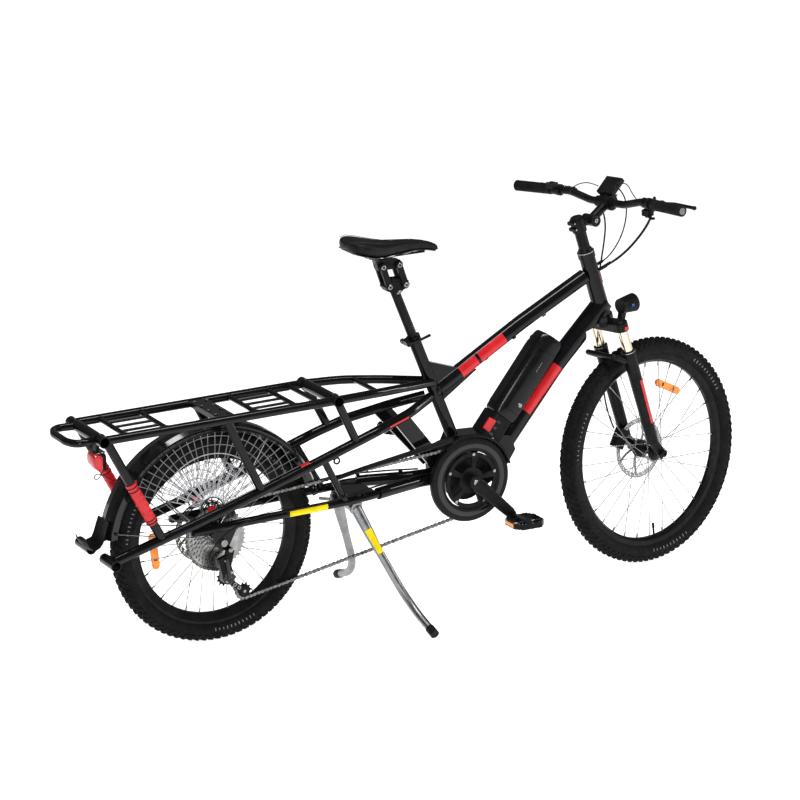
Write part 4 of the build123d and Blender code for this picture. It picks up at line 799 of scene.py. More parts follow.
def make_derailleur_details():
    """Pivot bolts and arms of the derailleur, and the bolts of its cage."""
    covers = Shape()
    for x, y, z, r in ((14, -93.5, 286, 7), (-2, -95.5, 258, 5), (14, -95.5, 222, 5), (6, -93, 203, 12)):
        spot = at(x, y, z)
        covers.lathe([(r, 1.5), (r, -1), (r * 0.7, -2)], spot, ACROSS, 24, closed=False)
    covers.piece("derailleur_bolts", "steel", "derailleur", bevel=0.3)
    body = Shape()
    body.block(at(4, -88, 234), (62, 11, 24), Vector((0.16, 0, -1)), ACROSS, 0.86)
    body.block(at(8, -80, 206), (34, 30, 30), Vector((1, 0, -0.8)), ACROSS, 0.8)
    body.piece("derailleur_arms", "gloss_plastic", "derailleur", slot="black_alloy", bevel=3)
    plates = Shape()
    for share in (0.28, 0.5, 0.72):
        spot = UPPER.lerp(LOWER, share) - ACROSS * 7.2 * MM
        plates.lathe([(5.5, 0.4), (5.5, -0.6), (3.2, -0.6), (3.2, 0.4)], spot, ACROSS, 20)
    for end in (UPPER, LOWER):
        spot = end - ACROSS * 6.6 * MM
        plates.tube([spot, spot - ACROSS * 2.4 * MM], 4.5, 6)
    plates.piece("cage_bolts", "steel", "cage", bevel=0.2)


make_chain()
make_crank()
make_pedal("right_pedal", "right_pedal", "right_pedal_spin", -1)
make_pedal("left_pedal", "left_pedal", "left_pedal_spin", 1)
make_chain_guard()
make_motor_details()
make_derailleur_details()


# ---------------------------------------------------------------- smooth lines
def nurbs_line(name, points):
    """Points along the NURBS spline that has the given points as its control points."""
    data = bpy.data.curves.new(name, "CURVE")
    data.dimensions = "3D"
    spline = data.splines.new("NURBS")
    spline.points.add(len(points) - 1)
    for point, place in zip(spline.points, points):
        point.co = (*place, 1)
    spline.order_u = 3
    spline.use_endpoint_u = True
    spline.resolution_u = 12
    holder = bpy.data.objects.new(name, data)
    bpy.context.scene.collection.objects.link(holder)
    mesh = bpy.data.meshes.new_from_object(holder)
    line = [vertex.co.copy() for vertex in mesh.vertices]
    bpy.data.objects.remove(holder)
    bpy.data.curves.remove(data)
    bpy.data.meshes.remove(mesh)
    return line


# ---------------------------------------------------------------- rack, guards and mudguard
NET_CENTRE = (-22, 396)
NET_CORNERS = ((330, 500), (-400, 520))
NET_INNER = 36 * MM
NET_RINGS, FINE_RINGS, RING_GAP = 12, 6, 25 * MM
NET_RIBS, RIB_BEND = 26, 7


def make_dress_guard(side):
    """Moulded net beside the upper wheel: ribs that fan out from a point above the hub, crossed by rings."""
    low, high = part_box("dress_guards")
    y = (high.y if side > 0 else low.y) - 1.3 * MM * side
    centre = at(NET_CENTRE[0], 0, NET_CENTRE[1])
    centre.y = y
    hub = Vector((REAR.x, y, REAR.z))
    limit = reach("dress_guards", REAR, ACROSS)[1] - 3 * MM
    first = atan2(NET_CORNERS[0][1] - NET_CENTRE[1], NET_CORNERS[0][0] - NET_CENTRE[0]) + 0.02
    last = atan2(NET_CORNERS[1][1] - NET_CENTRE[1], NET_CORNERS[1][0] - NET_CENTRE[0]) - 0.02

    def fan(k, count):
        """Angle number k of count steps from the net's front corner to its rear one."""
        return first + (last - first) * k / count

    def edge(angle):
        """Length of the ray from the gathering point to the outer rim."""
        ray = Vector((cos(angle), 0, sin(angle)))
        offset = centre - hub
        along = offset.dot(ray)
        return -along + sqrt(along * along - offset.length_squared + limit * limit)

    def spot(radius, angle):
        """Point of the net at a radius and an angle about its centre."""
        return centre + Vector((cos(angle), 0, sin(angle))) * radius

    inner_rings, outer_rings, ribs, rim = Shape(), Shape(), Shape(), Shape()
    for row in range(NET_RINGS):
        radius = NET_INNER + row * RING_GAP
        path = [spot(radius, fan(k, 60)) for k in range(61) if radius < edge(fan(k, 60)) - 4 * MM]
        if len(path) < 2:
            continue
        gaps = [k for k in range(1, len(path)) if (path[k] - path[k - 1]).length > radius * 0.2]
        runs = [path[a:b] for a, b in zip([0] + gaps, gaps + [len(path)])]
        for run in runs:
            if len(run) > 1:
                (inner_rings if row < FINE_RINGS else outer_rings).tube(run, 1.3 if row < FINE_RINGS else 1.1, 5)
    for k in range(NET_RIBS):
        angle = fan(k, NET_RIBS - 1)
        bend = radians(RIB_BEND) * (1 if k % 2 else -1)
        far = edge(angle) - 1 * MM
        line = [spot(NET_INNER + (far - NET_INNER) * share, angle + bend * share * (1 - share))
                for share in (0, 0.25, 0.5)]
        line = [p for p in line if first < atan2(p.z - centre.z, p.x - centre.x) < last]
        end = spot(far, angle)
        if len(line) < 2:
            line = [spot(NET_INNER, angle), spot(far * 0.5, angle)]
        ribs.tube(line, 1.4, 5)
        outer_rings.tube([line[-1], end], 1.2, 5)
    path = [spot(edge(fan(k, 60)), fan(k, 60)) for k in range(61)]
    rim.tube(path, 2.2, 8)
    rim.tube([spot(NET_INNER, fan(k, 16)) for k in range(17)], 1.8, 8)
    name = "left" if side > 0 else "right"
    inner_rings.piece(f"guard_rings_{name}", "net_cord", replaces=["dress_guards"], slot="grey_plastic")
    ribs.piece(f"guard_ribs_{name}", "net_cord", slot="grey_plastic")
    outer_rings.piece(f"guard_outer_rings_{name}", "grey_plastic")
    rim.piece(f"guard_rim_{name}", "black_plastic")
    plug = Shape().lathe([(0.5, -2), (13, -2), (13, 1), (9, 4), (0.5, 4)], centre, ACROSS * side, 32)
    plug.piece(f"guard_plug_{name}", "red_trim", bevel=0.6)
    hoop = Shape().tube([spot(22 * MM, tau * k / 32) for k in range(32)], 2.2, 8, closed=True)
    for k in range(5):
        hoop.tube([spot(12 * MM, fan(k, 4)), spot(NET_INNER, fan(k, 4))], 1.8, 6)
    hoop.piece(f"guard_hoop_{name}", "black_plastic")


def make_mudflap():
    """Broad flap that leaves the end of the mudguard, widens and curls back up into a lip."""
    route = [(-318, 402, 35), (-325, 382, 36), (-331, 362, 37), (-338, 345, 38), (-348, 333, 39), (-361, 327, 40),
             (-374, 330, 41), (-386, 341, 41), (-392, 354, 40), (-394, 360, 38)]
    rings = []
    for i, (x, z, half) in enumerate(route):
        before, after = route[max(i - 1, 0)], route[min(i + 1, len(route) - 1)]
        run = Vector((after[0] - before[0], 0, after[1] - before[1])).normalized()
        normal = Vector((run.z, 0, -run.x))
        ring = []
        for share in (-1, -0.85, -0.5, 0, 0.5, 0.85, 1):
            ring.append(at(x, half * share, z) + normal * (6.0 * share * share - 3.0) * MM)
        ring += [p + normal * 3.0 * MM for p in reversed(ring)]
        rings.append(ring)
    flap = Shape().loops(rings)
    flap.piece("rear_mudflap", "rubber", replaces=["mudflap"], bevel=0.8, smooth=60)


def make_fender_details():
    """Wire stays from the mudguard to the dropouts, its bolts, and a rolled edge."""
    wires = Shape()
    bolts = Shape()
    for side in (-1, 1):
        for angle in (168, 138, 60):
            top = around(REAR, ACROSS, 312 * MM, radians(angle), 43.5 * MM * side)
            foot = at(-30, 67 * side, 318)
            wires.tube([top, top.lerp(foot, 0.3) + ACROSS * 6 * MM * side, foot], 1.7, 8)
            bolts.tube([top - ACROSS * 3 * MM * side, top + ACROSS * 3.5 * MM * side], 4.5, 6)
    wires.piece("fender_stays", "steel")
    bolts.piece("fender_bolts", "black_alloy", bevel=0.3)
    edge = Shape()
    for side in (-1, 1):
        edge.tube([around(REAR, ACROSS, 306 * MM, radians(a), 39.8 * MM * side) for a in range(27, 173, 3)], 1.9, 8)
    edge.piece("fender_edges", "gloss_plastic")


def make_sleeves():
    """Soft reflective sleeves with dark bands on the rear struts."""
    sleeve, bands = Shape(), Shape()
    for side in (-1, 1):
        top, low = at(-350, 100 * side, 655), at(-190, 90 * side, 350)
        a, b = top.lerp(low, 0.43), top.lerp(low, 0.83)
        count = 24
        sleeve.tube([a.lerp(b, k / count) for k in range(count + 1)],
                    [15.6 + 0.5 * sin(k * 1.9) for k in range(count + 1)], 28)
        for share in (0.06, 0.15, 0.88, 0.95):
            spot, next_spot = a.lerp(b, share), a.lerp(b, share + 0.022)
            bands.tube([spot, next_spot], 16.6, 28)
    sleeve.piece("strut_sleeves", "red_trim", smooth=60)
    bands.piece("strut_sleeve_bands", "rubber")


def make_rack_details():
    """Weld beads at the deck's joints, bolts on the middle plate and rims in the open tube ends."""
    beads, rims = Shape(), Shape()
    for x in (-285, -165, 105, 225, 292):
        z = 657 + 13 * (x + 372) / 714
        for side in (-1, 1):
            beads.lathe([(7.6, -1.6), (9, 0), (7.6, 1.6), (6.8, 0)], at(x, 88.5 * side, z), ACROSS, 24)
    for x, z in ((-360, 655), (342, 668)):
        for side in (-1, 1):
            rims.lathe([(13.6, -5 * side), (13.6, 0.2 * side), (15.6, 0.2 * side), (15.6, -0.4 * side)],
                       at(x, 117 * side, z), ACROSS, 40)
            beads.lathe([(16.2, -2), (18, 0), (16.2, 2), (15.4, 0)], at(x, 84 * side, z), ACROSS, 32)
    beads.piece("rack_weld_beads", "frame_paint", smooth=60)
    rims.piece("socket_rims", "black_plastic")
    bolts = Shape()
    for x in (-10, 26):
        for y in (-70, -24, 24, 70):
            spot = at(x, y, 671.5)
            bolts.tube([spot, spot + Vector((0, 0, 3 * MM))], 5, 6)
    bolts.piece("deck_plate_bolts", "steel", bevel=0.4)


# place, half width, bottom and top of the rings that the tail light's forms are skinned over
SHELL_RINGS = ((-314, 16, 548, 590), (-326, 22, 541, 595), (-338, 24, 545, 596), (-343, 24, 550, 594))
LENS_RINGS = ((-330, 28, 543, 590), (-343, 28, 548, 594), (-352, 26, 556, 595), (-356, 21, 566, 590))


def octagon(x, half, low, high, side_cut, end_cut):
    """Ring of eight corners across the bicycle."""
    corners = ((half, low + end_cut), (half - side_cut, low), (side_cut - half, low), (-half, low + end_cut),
               (-half, high - end_cut), (side_cut - half, high), (half - side_cut, high), (half, high - end_cut))
    return [at(x, y, z) for y, z in corners]


def make_tail_light():
    """Faceted red lens on a dark shell under the rear tube, with bright trim and its thin curly wire."""
    shell = Shape().loops([octagon(*ring, side_cut=6, end_cut=8) for ring in SHELL_RINGS])
    shell.block(at(-336, 0, 617), (10, 24, 50), Vector((1, 0, -0.12)))
    shell.piece("tail_light_shell", "black_plastic", replaces=["tail_light"], bevel=2.0)
    lens = Shape().loops([octagon(*ring, side_cut=7, end_cut=6) for ring in LENS_RINGS])
    lens.piece("tail_light_lens", "red_lens", bevel=1.2)
    Shape().block(at(-334, 0, 597), (30, 46, 3), Vector((1, 0, 0.1))).piece("tail_light_trim", "steel", bevel=1.0)
    centre_line = nurbs_line("tail_wire_line", [at(-330, -22, 548), at(-336, -26, 534), at(-352, -30, 526),
                                                at(-362, -34, 536), at(-354, -38, 548), at(-334, -44, 540),
                                                at(-310, -60, 524), at(-284, -80, 508)])
    wire = Shape().tube(centre_line, 1.3, 8).piece("tail_light_wire", "hose")


# ---------------------------------------------------------------- frame details
PATCH_STEPS = 14


def band_on_tube(shape, a, b, radius, first, last, lift):
    """Thin curved patch on a stretch of a round tube, between two angles in degrees; radius and lift in mm."""
    radius, lift = radius * MM, lift * MM
    first, last = radians(first), radians(last)
    along = (b - a).normalized()
    up = (Vector((0, 0, 1)) - along * along.z).normalized()
    out = along.cross(up)
    rings = []
    for k in range(PATCH_STEPS + 1):
        angle = first + (last - first) * k / PATCH_STEPS
        radial = out * cos(angle) + up * sin(angle)
        low, high = radius + lift * 0.2, radius + lift
        rings.append([a + radial * low, b + radial * low, b + radial * high, a + radial * high])
    shape.loops(rings)


def patch_on_leg(shape, a, b, out, half_angle, steps, radii):
    """Thin curved patch along a leg, facing out; radii in mm are the inner ones at a and b, then the outer ones."""
    along = (b - a).normalized()
    out = square(out, along)
    cross = along.cross(out)
    rings = []
    for k in range(steps + 1):
        angle = -half_angle + 2 * half_angle * k / steps
        radial = out * cos(angle) + cross * sin(angle)
        rings.append([end + radial * radius * MM for end, radius in zip((a, b, b, a), radii)])
    shape.loops(rings)


def make_trim():
    """Plain coloured panels on the frame, with no lettering."""
    red = Shape()
    for first, last in ((-48, 55), (125, 228)):
        band_on_tube(red, at(782, 0, 665), at(835, 0, 696), 22, first, last, 0.5)
        band_on_tube(red, at(843, 0, 700.5), at(925, 0, 748), 22, first, last, 0.5)
    red.piece("top_tube_panels", "red_trim", smooth=60)
    down = Shape()
    for first, last in ((-40, 46), (134, 220)):
        band_on_tube(down, at(994, 0, 520), at(1098, 0, 644.5), 27.6, first, last, 0.6)
    down.piece("down_tube_panels", "red_trim", smooth=60)
    stripe = Shape()
    band_on_tube(stripe, at(512, -75.5, 563.5), at(578, -61.5, 579), 14, -12, 10, 0.4)
    band_on_tube(stripe, at(236, -90, 480.8), at(262, -90, 488.9), 14, 48, 100, 0.6)
    stripe.piece("side_tube_stripe", "red_trim")
    yellow = Shape()
    band_on_tube(yellow, at(202, -72, 355.8), at(320, -72, 359.3), 12.1, -42, 38, 0.4)
    yellow.piece("stay_sticker", "yellow_trim")
    badge = Shape()
    forward = Vector((STEER_AXIS.z, 0, -STEER_AXIS.x))
    badge.block(STEER + STEER_AXIS * 128 * MM + forward * 24.2 * MM, (44, 19, 2), STEER_AXIS, forward, 0.85)
    badge.piece("head_badge", "red_trim", bevel=0.8)


def make_frame_details():
    """Weld fillets, the headset's ring and cap, cable clips, the tie eye and the bosses."""
    welds = Shape()
    for spot, axis, radius in ((at(1218, 0, 903), (at(1196, 0, 893) - at(985, 0, 783)), 23),
                               (at(714, 0, 626), (at(985, 0, 783) - at(690, 0, 612)), 23)):
        welds.lathe([(radius, -3), (radius + 2.4, 0), (radius, 3), (radius - 2, 0)], spot, axis, 40)
    welds.piece("tube_welds", "frame_paint", smooth=60)
    ring = Shape()
    top = STEER + STEER_AXIS * 214.6 * MM
    ring.lathe([(15, 0), (25.6, 0), (25.6, 2.2), (20, 4), (15, 4)], top, STEER_AXIS, 48)
    ring.piece("headset_ring", "steel", bevel=0.3)
    cap = Shape()
    cap.lathe([(15, 4.3), (22, 4.3), (19, 12), (15, 12)], top, STEER_AXIS, 48)
    cap.piece("headset_cap", "black_alloy", "steering", bevel=0.6)
    clips = Shape()
    for x, z in ((791, 647), (870, 693), (962, 743), (1060, 797)):
        clips.block(at(x, 0, z), (12, 16, 6), Vector((1, 0, 0.55)))
    clips.piece("cable_clips", "black_plastic", bevel=1.0)
    eye = Shape()
    spot = at(346, -90, 495)
    ring_path = [spot + Vector((cos(a), 0, sin(a))) * 8.5 * MM - Vector((0, 0, 4 * MM))
                 for a in (tau * k / 20 for k in range(20))]
    eye.tube(ring_path, 2.6, 8, closed=True)
    eye.piece("tie_eye", "black_alloy")
    hooks = Shape()
    for x, z in ((470, 569), (236, 498), (408, 400)):
        hooks.block(at(x, -99, z - 14), (10, 7, 9))
    hooks.piece("tube_bosses", "black_alloy", bevel=1.0)


def make_collar_details():
    """Nut of the seat clamp."""
    nut = Shape()
    left = pivot("seat_lever_flip") + ACROSS * 33 * MM
    nut.lathe([(3, -1), (7, -1), (8, 1), (8, 7), (5, 9), (3, 9)], left, ACROSS, 24)
    nut.piece("collar_nut", "steel", bevel=0.3)


# ---------------------------------------------------------------- stand
def make_stand_details():
    """Flattened castings at the top of the legs, the pivot's end bolts and springs, and a plain sticker."""
    centre = pivot("stand_fold")
    castings, bolts = Shape(), Shape()
    for side in (-1, 1):
        hub = centre + ACROSS * 60 * MM * side
        castings.lathe([(6, -9), (18, -8), (19, -5), (19, 5), (17, 8), (6, 8)], hub, ACROSS, 36)
        low = at(468, 105 * side, 209)
        start = hub + Vector((0, 0, 2 * MM))
        castings.tube([start, start.lerp(low, 0.3), start.lerp(low, 0.62), start.lerp(low, 0.85), low],
                      [16.5, 16, 14.6, 12.6, 11.8], 28)
        castings.block(hub + Vector((6, 0, 16)) * MM, (22, 12, 20), (1, 0, 0.4))
        bolts.lathe([(0.5, 8), (9, 8), (9, 13), (6, 15), (0.5, 15)], hub, ACROSS * side, 24)
    castings.piece("stand_castings", "silver_alloy", "stand", smooth=60)
    bolts.piece("stand_pivot_bolts", "silver_alloy", "stand", bevel=0.5)
    sticker = Shape()
    a, b = at(442, -80, 273), at(470, -106.5, 206)
    patch_on_leg(sticker, a, b, Vector((-0.12, -1, 0)), 0.62, 10, (16.8, 13.4, 14.0, 17.6))
    sticker.piece("stand_sticker", "yellow_trim", "stand")
    bracket = Shape()
    bracket.block(at(418, 0, 353), (50, 72, 16))
    for side in (-1, 1):
        bracket.block(at(398, 20 * side, 346), (22, 12, 22), (1, 0, 0.3))
    bracket.piece("stand_bracket", "black_alloy", bevel=3)
    springs = Shape()
    for side in (-1, 1):
        start, end = at(390, 33 * side, 338), at(352, 33 * side, 347)
        along = (end - start).normalized()
        up = along.cross(ACROSS)
        springs.tube([start.lerp(end, k / 160) + (ACROSS * cos(k * 0.6) + up * sin(k * 0.6)) * 4 * MM
                      for k in range(161)], 1.1, 6)
    springs.piece("stand_springs", "steel")


# ---------------------------------------------------------------- battery
BATTERY_TILT = radians(52)


def battery_frame():
    """Centre and directions (along, up, length, thickness, width) of the battery from its node's vertices."""
    along = Vector((cos(BATTERY_TILT), 0, sin(BATTERY_TILT)))
    up = Vector((-sin(BATTERY_TILT), 0, cos(BATTERY_TILT)))
    points = [v.co for v in frame["nodes"]["battery"].data.vertices]
    lows = [min(p.dot(d) for p in points) for d in (along, up, ACROSS)]
    highs = [max(p.dot(d) for p in points) for d in (along, up, ACROSS)]
    middle = sum((d * (a + b) / 2 for d, a, b in zip((along, up, ACROSS), lows, highs)), Vector())
    return middle, along, up, [b - a for a, b in zip(lows, highs)]


def make_battery():
    """Moulded pack: tapered shell, top panel, seams, handle, lock and charge dots, with the trim of its dock."""
    middle, along, up, (length, thick, wide) = battery_frame()
    rings = []
    stations = ((-0.5, 0.80), (-0.485, 0.94), (-0.40, 1.0), (0.30, 1.0), (0.42, 0.97), (0.47, 0.90), (0.5, 0.72))
    corners = ((0.5, -0.5), (0.5, 0.12), (0.40, 0.36), (0.24, 0.5), (-0.24, 0.5), (-0.40, 0.36), (-0.5, 0.12),
               (-0.5, -0.5))
    for place, scale in stations:
        drop = -0.04 * thick if place > 0.4 else 0
        rings.append([middle + along * length * place + ACROSS * wide * a * (0.94 + 0.06 * scale)
                      + up * (thick * b * scale + drop * (b > 0)) for a, b in corners])
    shell = Shape().loops(rings)
    shell.piece("battery_shell", "battery_skin", "battery", replaces=["battery"], bevel=5.0, smooth=50,
                slot="black_plastic")
    top = Shape()
    top.block(middle - along * length * 0.05 + up * thick * 0.485, (length * 0.74, wide * 0.46, 3.0 * MM), along,
              up, 0.94, unit=1)
    top.piece("battery_top_panel", "gloss_plastic", "battery", bevel=1.0, slot="black_plastic")
    seam = Shape()
    for share in (-0.40, 0.335):
        outline = [middle + along * length * share + ACROSS * wide * a * 1.004 + up * thick * b * 1.004
                   for a, b in corners]
        seam.tube(outline, 0.9, 6, closed=True)
    seam.piece("battery_seams", "rubber", "battery", slot="black_plastic")
    handle = Shape()
    start = middle + along * length * 0.385 + up * thick * 0.36
    path = [start + ACROSS * wide * s * 0.34 + along * length * 0.075 * (1 - (abs(s)) ** 3)
            for s in (-1, -0.7, -0.35, 0, 0.35, 0.7, 1)]
    handle.tube(path, 4.2, 12)
    handle.piece("battery_handle", "black_plastic", "battery", smooth=60)
    lock = Shape()
    spot = middle - along * length * 0.30 - up * thick * 0.30 - ACROSS * wide * 0.5
    lock.lathe([(0.5, -2.0), (6, -2.0), (7.5, 0.5), (0.5, 0.5)], spot, ACROSS, 24)
    lock.piece("battery_lock", "steel", "battery")
    lights = Shape()
    for k in range(5):
        spot = middle + along * length * (0.10 + 0.025 * k) - ACROSS * wide * 0.5 + up * thick * -0.1
        lights.lathe(collar(0.3, 2.0, -0.6, 0.5), spot, ACROSS, 16)
    lights.piece("battery_charge_dots", "grey_print", "battery", slot="black_plastic")
    dock = Shape()
    end = middle - along * (length / 2 + 40 * MM) + up * 26 * MM
    dock.block(end - ACROSS * 33 * MM, (40, 6, 26), along, up, 0.9)
    dock.piece("battery_dock_trim", "red_trim", bevel=1.2)
    slot_cover = Shape()
    for k in range(3):
        spot = end + along * (20 - 20 * k) * MM - up * 20 * MM - ACROSS * 36 * MM
        slot_cover.block(spot, (8, 3, 14), along, up, 0.9)
    slot_cover.piece("battery_dock_ribs", "gloss_plastic", bevel=0.8, slot="black_plastic")


make_dress_guard(-1)
make_dress_guard(1)
make_mudflap()
make_fender_details()
make_sleeves()
make_rack_details()
make_tail_light()
make_trim()
make_frame_details()
make_collar_details()
make_stand_details()
make_battery()


# ---------------------------------------------------------------- saddle and seatpost
SADDLE_LINE = (
    # forward, half width, top at the middle, rise of the sides, depth of the flank
    (424, 30, 1082, 4, 18), (434, 56, 1087, 6, 26), (456, 71, 1088, 5, 33), (486, 71, 1083, 3, 36),
    (520, 58, 1076, 1, 35), (556, 41, 1071, -1, 31), (596, 29, 1070, -2, 27), (640, 23, 1068, -3, 24),
    (676, 20, 1062, -4, 22), (702, 17, 1053, -5, 19), (716, 11, 1043, -5, 13),
)


def make_saddle():
    """Padded saddle: raised tail, long nose that turns down, a groove along the middle and stitched seams."""
    rings = []
    for x, half, top, rise, depth in SADDLE_LINE:
        groove = 3.2 if 450 < x < 690 else 0.0
        section = []
        for share, height in ((0.0, -groove), (0.16, -groove * 0.5), (0.34, 0.6), (0.56, 0.35 * rise),
                              (0.78, 0.7 * rise), (0.93, 0.62 * rise - 4), (1.0, -9.0), (0.97, -0.62 * depth),
                              (0.86, -depth), (0.5, -depth + 1), (0.0, -depth + 3)):
            section.append((share * half, top + height))
        ring = [at(x, y, z) for y, z in section] + [at(x, -y, z) for y, z in reversed(section[1:-1])]
        rings.append(ring)
    shape = Shape().loops(rings)
    cover = shape.piece("saddle_cover", "saddle_skin", "saddle", replaces=["saddle"], levels=2, smooth=180)
    seams, shell = Shape(), Shape()
    for side in (-1, 1):
        line = [at(x, side * half * 0.80, top + 0.72 * rise + 0.4)
                for x, half, top, rise, depth in SADDLE_LINE[1:-1]]
        seams.tube(line, 0.9, 6)
        edge = [at(x, side * half * 0.90, top - depth - 0.4) for x, half, top, rise, depth in SADDLE_LINE[1:-1]]
        shell.tube(edge, 2.2, 8)
    seams.piece("saddle_seams", "black_plastic", "saddle", slot="saddle_skin")
    rings = []
    for x, half, top, rise, depth in SADDLE_LINE[1:-1]:
        low = top - depth
        rings.append([at(x, -0.84 * half, low - 0.5), at(x, 0.84 * half, low - 0.5), at(x, 0.7 * half, low - 4),
                      at(x, -0.7 * half, low - 4)])
    shell.loops(rings)
    shell.piece("saddle_shell", "gloss_plastic", "saddle", slot="black_plastic")


def make_saddle_rails():
    """Two bright rails that dip to the clamp, with their sockets."""
    rails, sockets = Shape(), Shape()
    for side in (-1, 1):
        points = [(450, 34, 1060), (470, 30, 1046), (490, 23, 1037), (530, 22, 1036), (580, 22, 1036),
                  (606, 21, 1038), (650, 15, 1047), (684, 9, 1049)]
        line = nurbs_line(f"saddle_rail_line_{side}", [at(x, y * side, z) for x, y, z in points])
        rails.tube(line, 3.5, 12)
        sockets.block(at(450, 34 * side, 1060), (20, 14, 10))
    rails.piece("saddle_rails", "steel", "saddle", slot="steel")
    sockets.block(at(684, 0, 1051), (18, 26, 9))
    sockets.piece("saddle_rail_sockets", "black_plastic", "saddle", bevel=1.5)


def make_suspension_post():
    """Rail clamp and its bolts, pivot bolts, bumper block, and the rings on the post."""
    head = pivot("saddle_level")
    clamp = Shape()
    clamp.block(at(534, 0, 1041), (34, 58, 7))
    clamp.block(at(534, 0, 1028), (36, 58, 9))
    clamp.piece("rail_clamp", "black_alloy", "saddle", bevel=1.5)
    bolts = Shape()
    for x in (518, 550):
        bolts.tube([at(x, 0, 1018), at(x, 0, 1050)], 3, 12)
        bolts.tube([at(x, 0, 1045), at(x, 0, 1050)], 5.5, 6)
    bolts.piece("clamp_bolts", "steel", "saddle", bevel=0.4)
    low_front, low_rear = pivot("post_front_link"), pivot("post_rear_link")
    rise = head - low_front
    for body, spots in (("seatpost", (low_front, low_rear)), ("saddle", (head, low_rear + rise))):
        heads = Shape()
        for spot in spots:
            centre = Vector((spot.x, REAR.y, spot.z))
            for side in (-1, 1):
                heads.lathe([(2.6, 20.5), (7.6, 20.5), (7.6, 23), (6.2, 24.4), (3.4, 24.4), (3.0, 22.6)], centre,
                            ACROSS * side, 28)
        heads.piece(f"{body}_pivot_bolts", "steel", body, bevel=0.2)
    inner = Shape()
    middle = (low_front + low_rear) / 2
    middle.y = REAR.y
    inner.block(middle + Vector((0, 0, 14 * MM)), (34, 24, 16))
    inner.piece("post_bumper", "rubber", "seatpost", bevel=3)
    ring = Shape()
    along = joint_axis("seat_height")
    along = along if along.z > 0 else -along
    base = middle - along * 22 * MM
    ring.lathe([(12.6, -3), (16.2, -3), (16.2, 2), (12.6, 5)], base, along, 36)
    ring.piece("post_ring", "silver_alloy", "seatpost", bevel=0.4)
    marks = Shape()
    for k in range(7):
        spot = base - along * (95 + 8 * k) * MM
        marks.lathe([(13.56, -0.3), (13.63, 0), (13.56, 0.3)], spot, along, 36)
    marks.piece("post_height_rings", "grey_print", "seatpost", slot="grey_plastic")


# ---------------------------------------------------------------- cords on the bars and the stays
def make_cord(name, points, diameter, node, bodies):
    """Hose or cable along a smooth line; it rides on one body, or is left fixed and unattached when two are given.
    """
    line = nurbs_line(name, points)
    body = None if len(bodies) > 1 else bodies[0]
    cord = Shape().tube(line, diameter / 2, 14, unit=1).piece(name, "hose", body, replaces=[node])
    if len(bodies) > 1:
        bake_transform(cord)
    return line


HOSE = 5.0 * MM
WIRE = 4.0 * MM
SHIFT_HOUSING = ((1352, -104, 1086), (1376, -76, 1070), (1382, -48, 1036), (1366, -30, 998), (1334, -22, 962),
                 (1296, -20, 936), (1262, -16, 920), (1240, -14, 911))
REAR_BRAKE_HOSE = ((1372, -94, 1122), (1400, -60, 1108), (1412, -28, 1070), (1402, -8, 1022), (1372, 0, 980),
                   (1332, 2, 946), (1290, 0, 924), (1245, -1, 907))
DISPLAY_WIRE = ((1330, 40, 1132), (1352, 44, 1112), (1362, 40, 1076), (1354, 30, 1034), (1334, 22, 990),
                (1302, 16, 950), (1270, 14, 926), (1239, 13, 916))
FRONT_BRAKE_HOSE = ((1311, 150, 1109), (1330, 112, 1098), (1346, 84, 1066), (1348, 72, 1016), (1340, 74, 960),
                    (1330, 80, 900), (1322, 88, 838), (1318, 94, 778), (1318, 95, 718), (1322, 94, 658),
                    (1329, 92, 598), (1334, 90, 538), (1336, 84, 482), (1334, 66, 440), (1334, 48, 410))
RIGHT_STAY_HOUSING = ((664, -28, 387.7), (640, -31, 389), (592, -43, 391), (520, -60, 391), (455, -76, 391),
                      (400, -88, 384), (280, -91, 372), (165, -90, 370), (85, -93, 366), (20, -101, 352),
                      (-30, -106, 322), (-58, -104, 284), (-52, -98, 250), (-22, -90, 236))
LEFT_STAY_HOSE = ((664, 28, 387.7), (640, 31, 389), (592, 43, 391), (520, 60, 391), (455, 76, 391), (400, 88, 384),
                  (280, 91, 372), (190, 86, 372), (145, 74, 374), (112, 58, 366), (92, 51, 356))


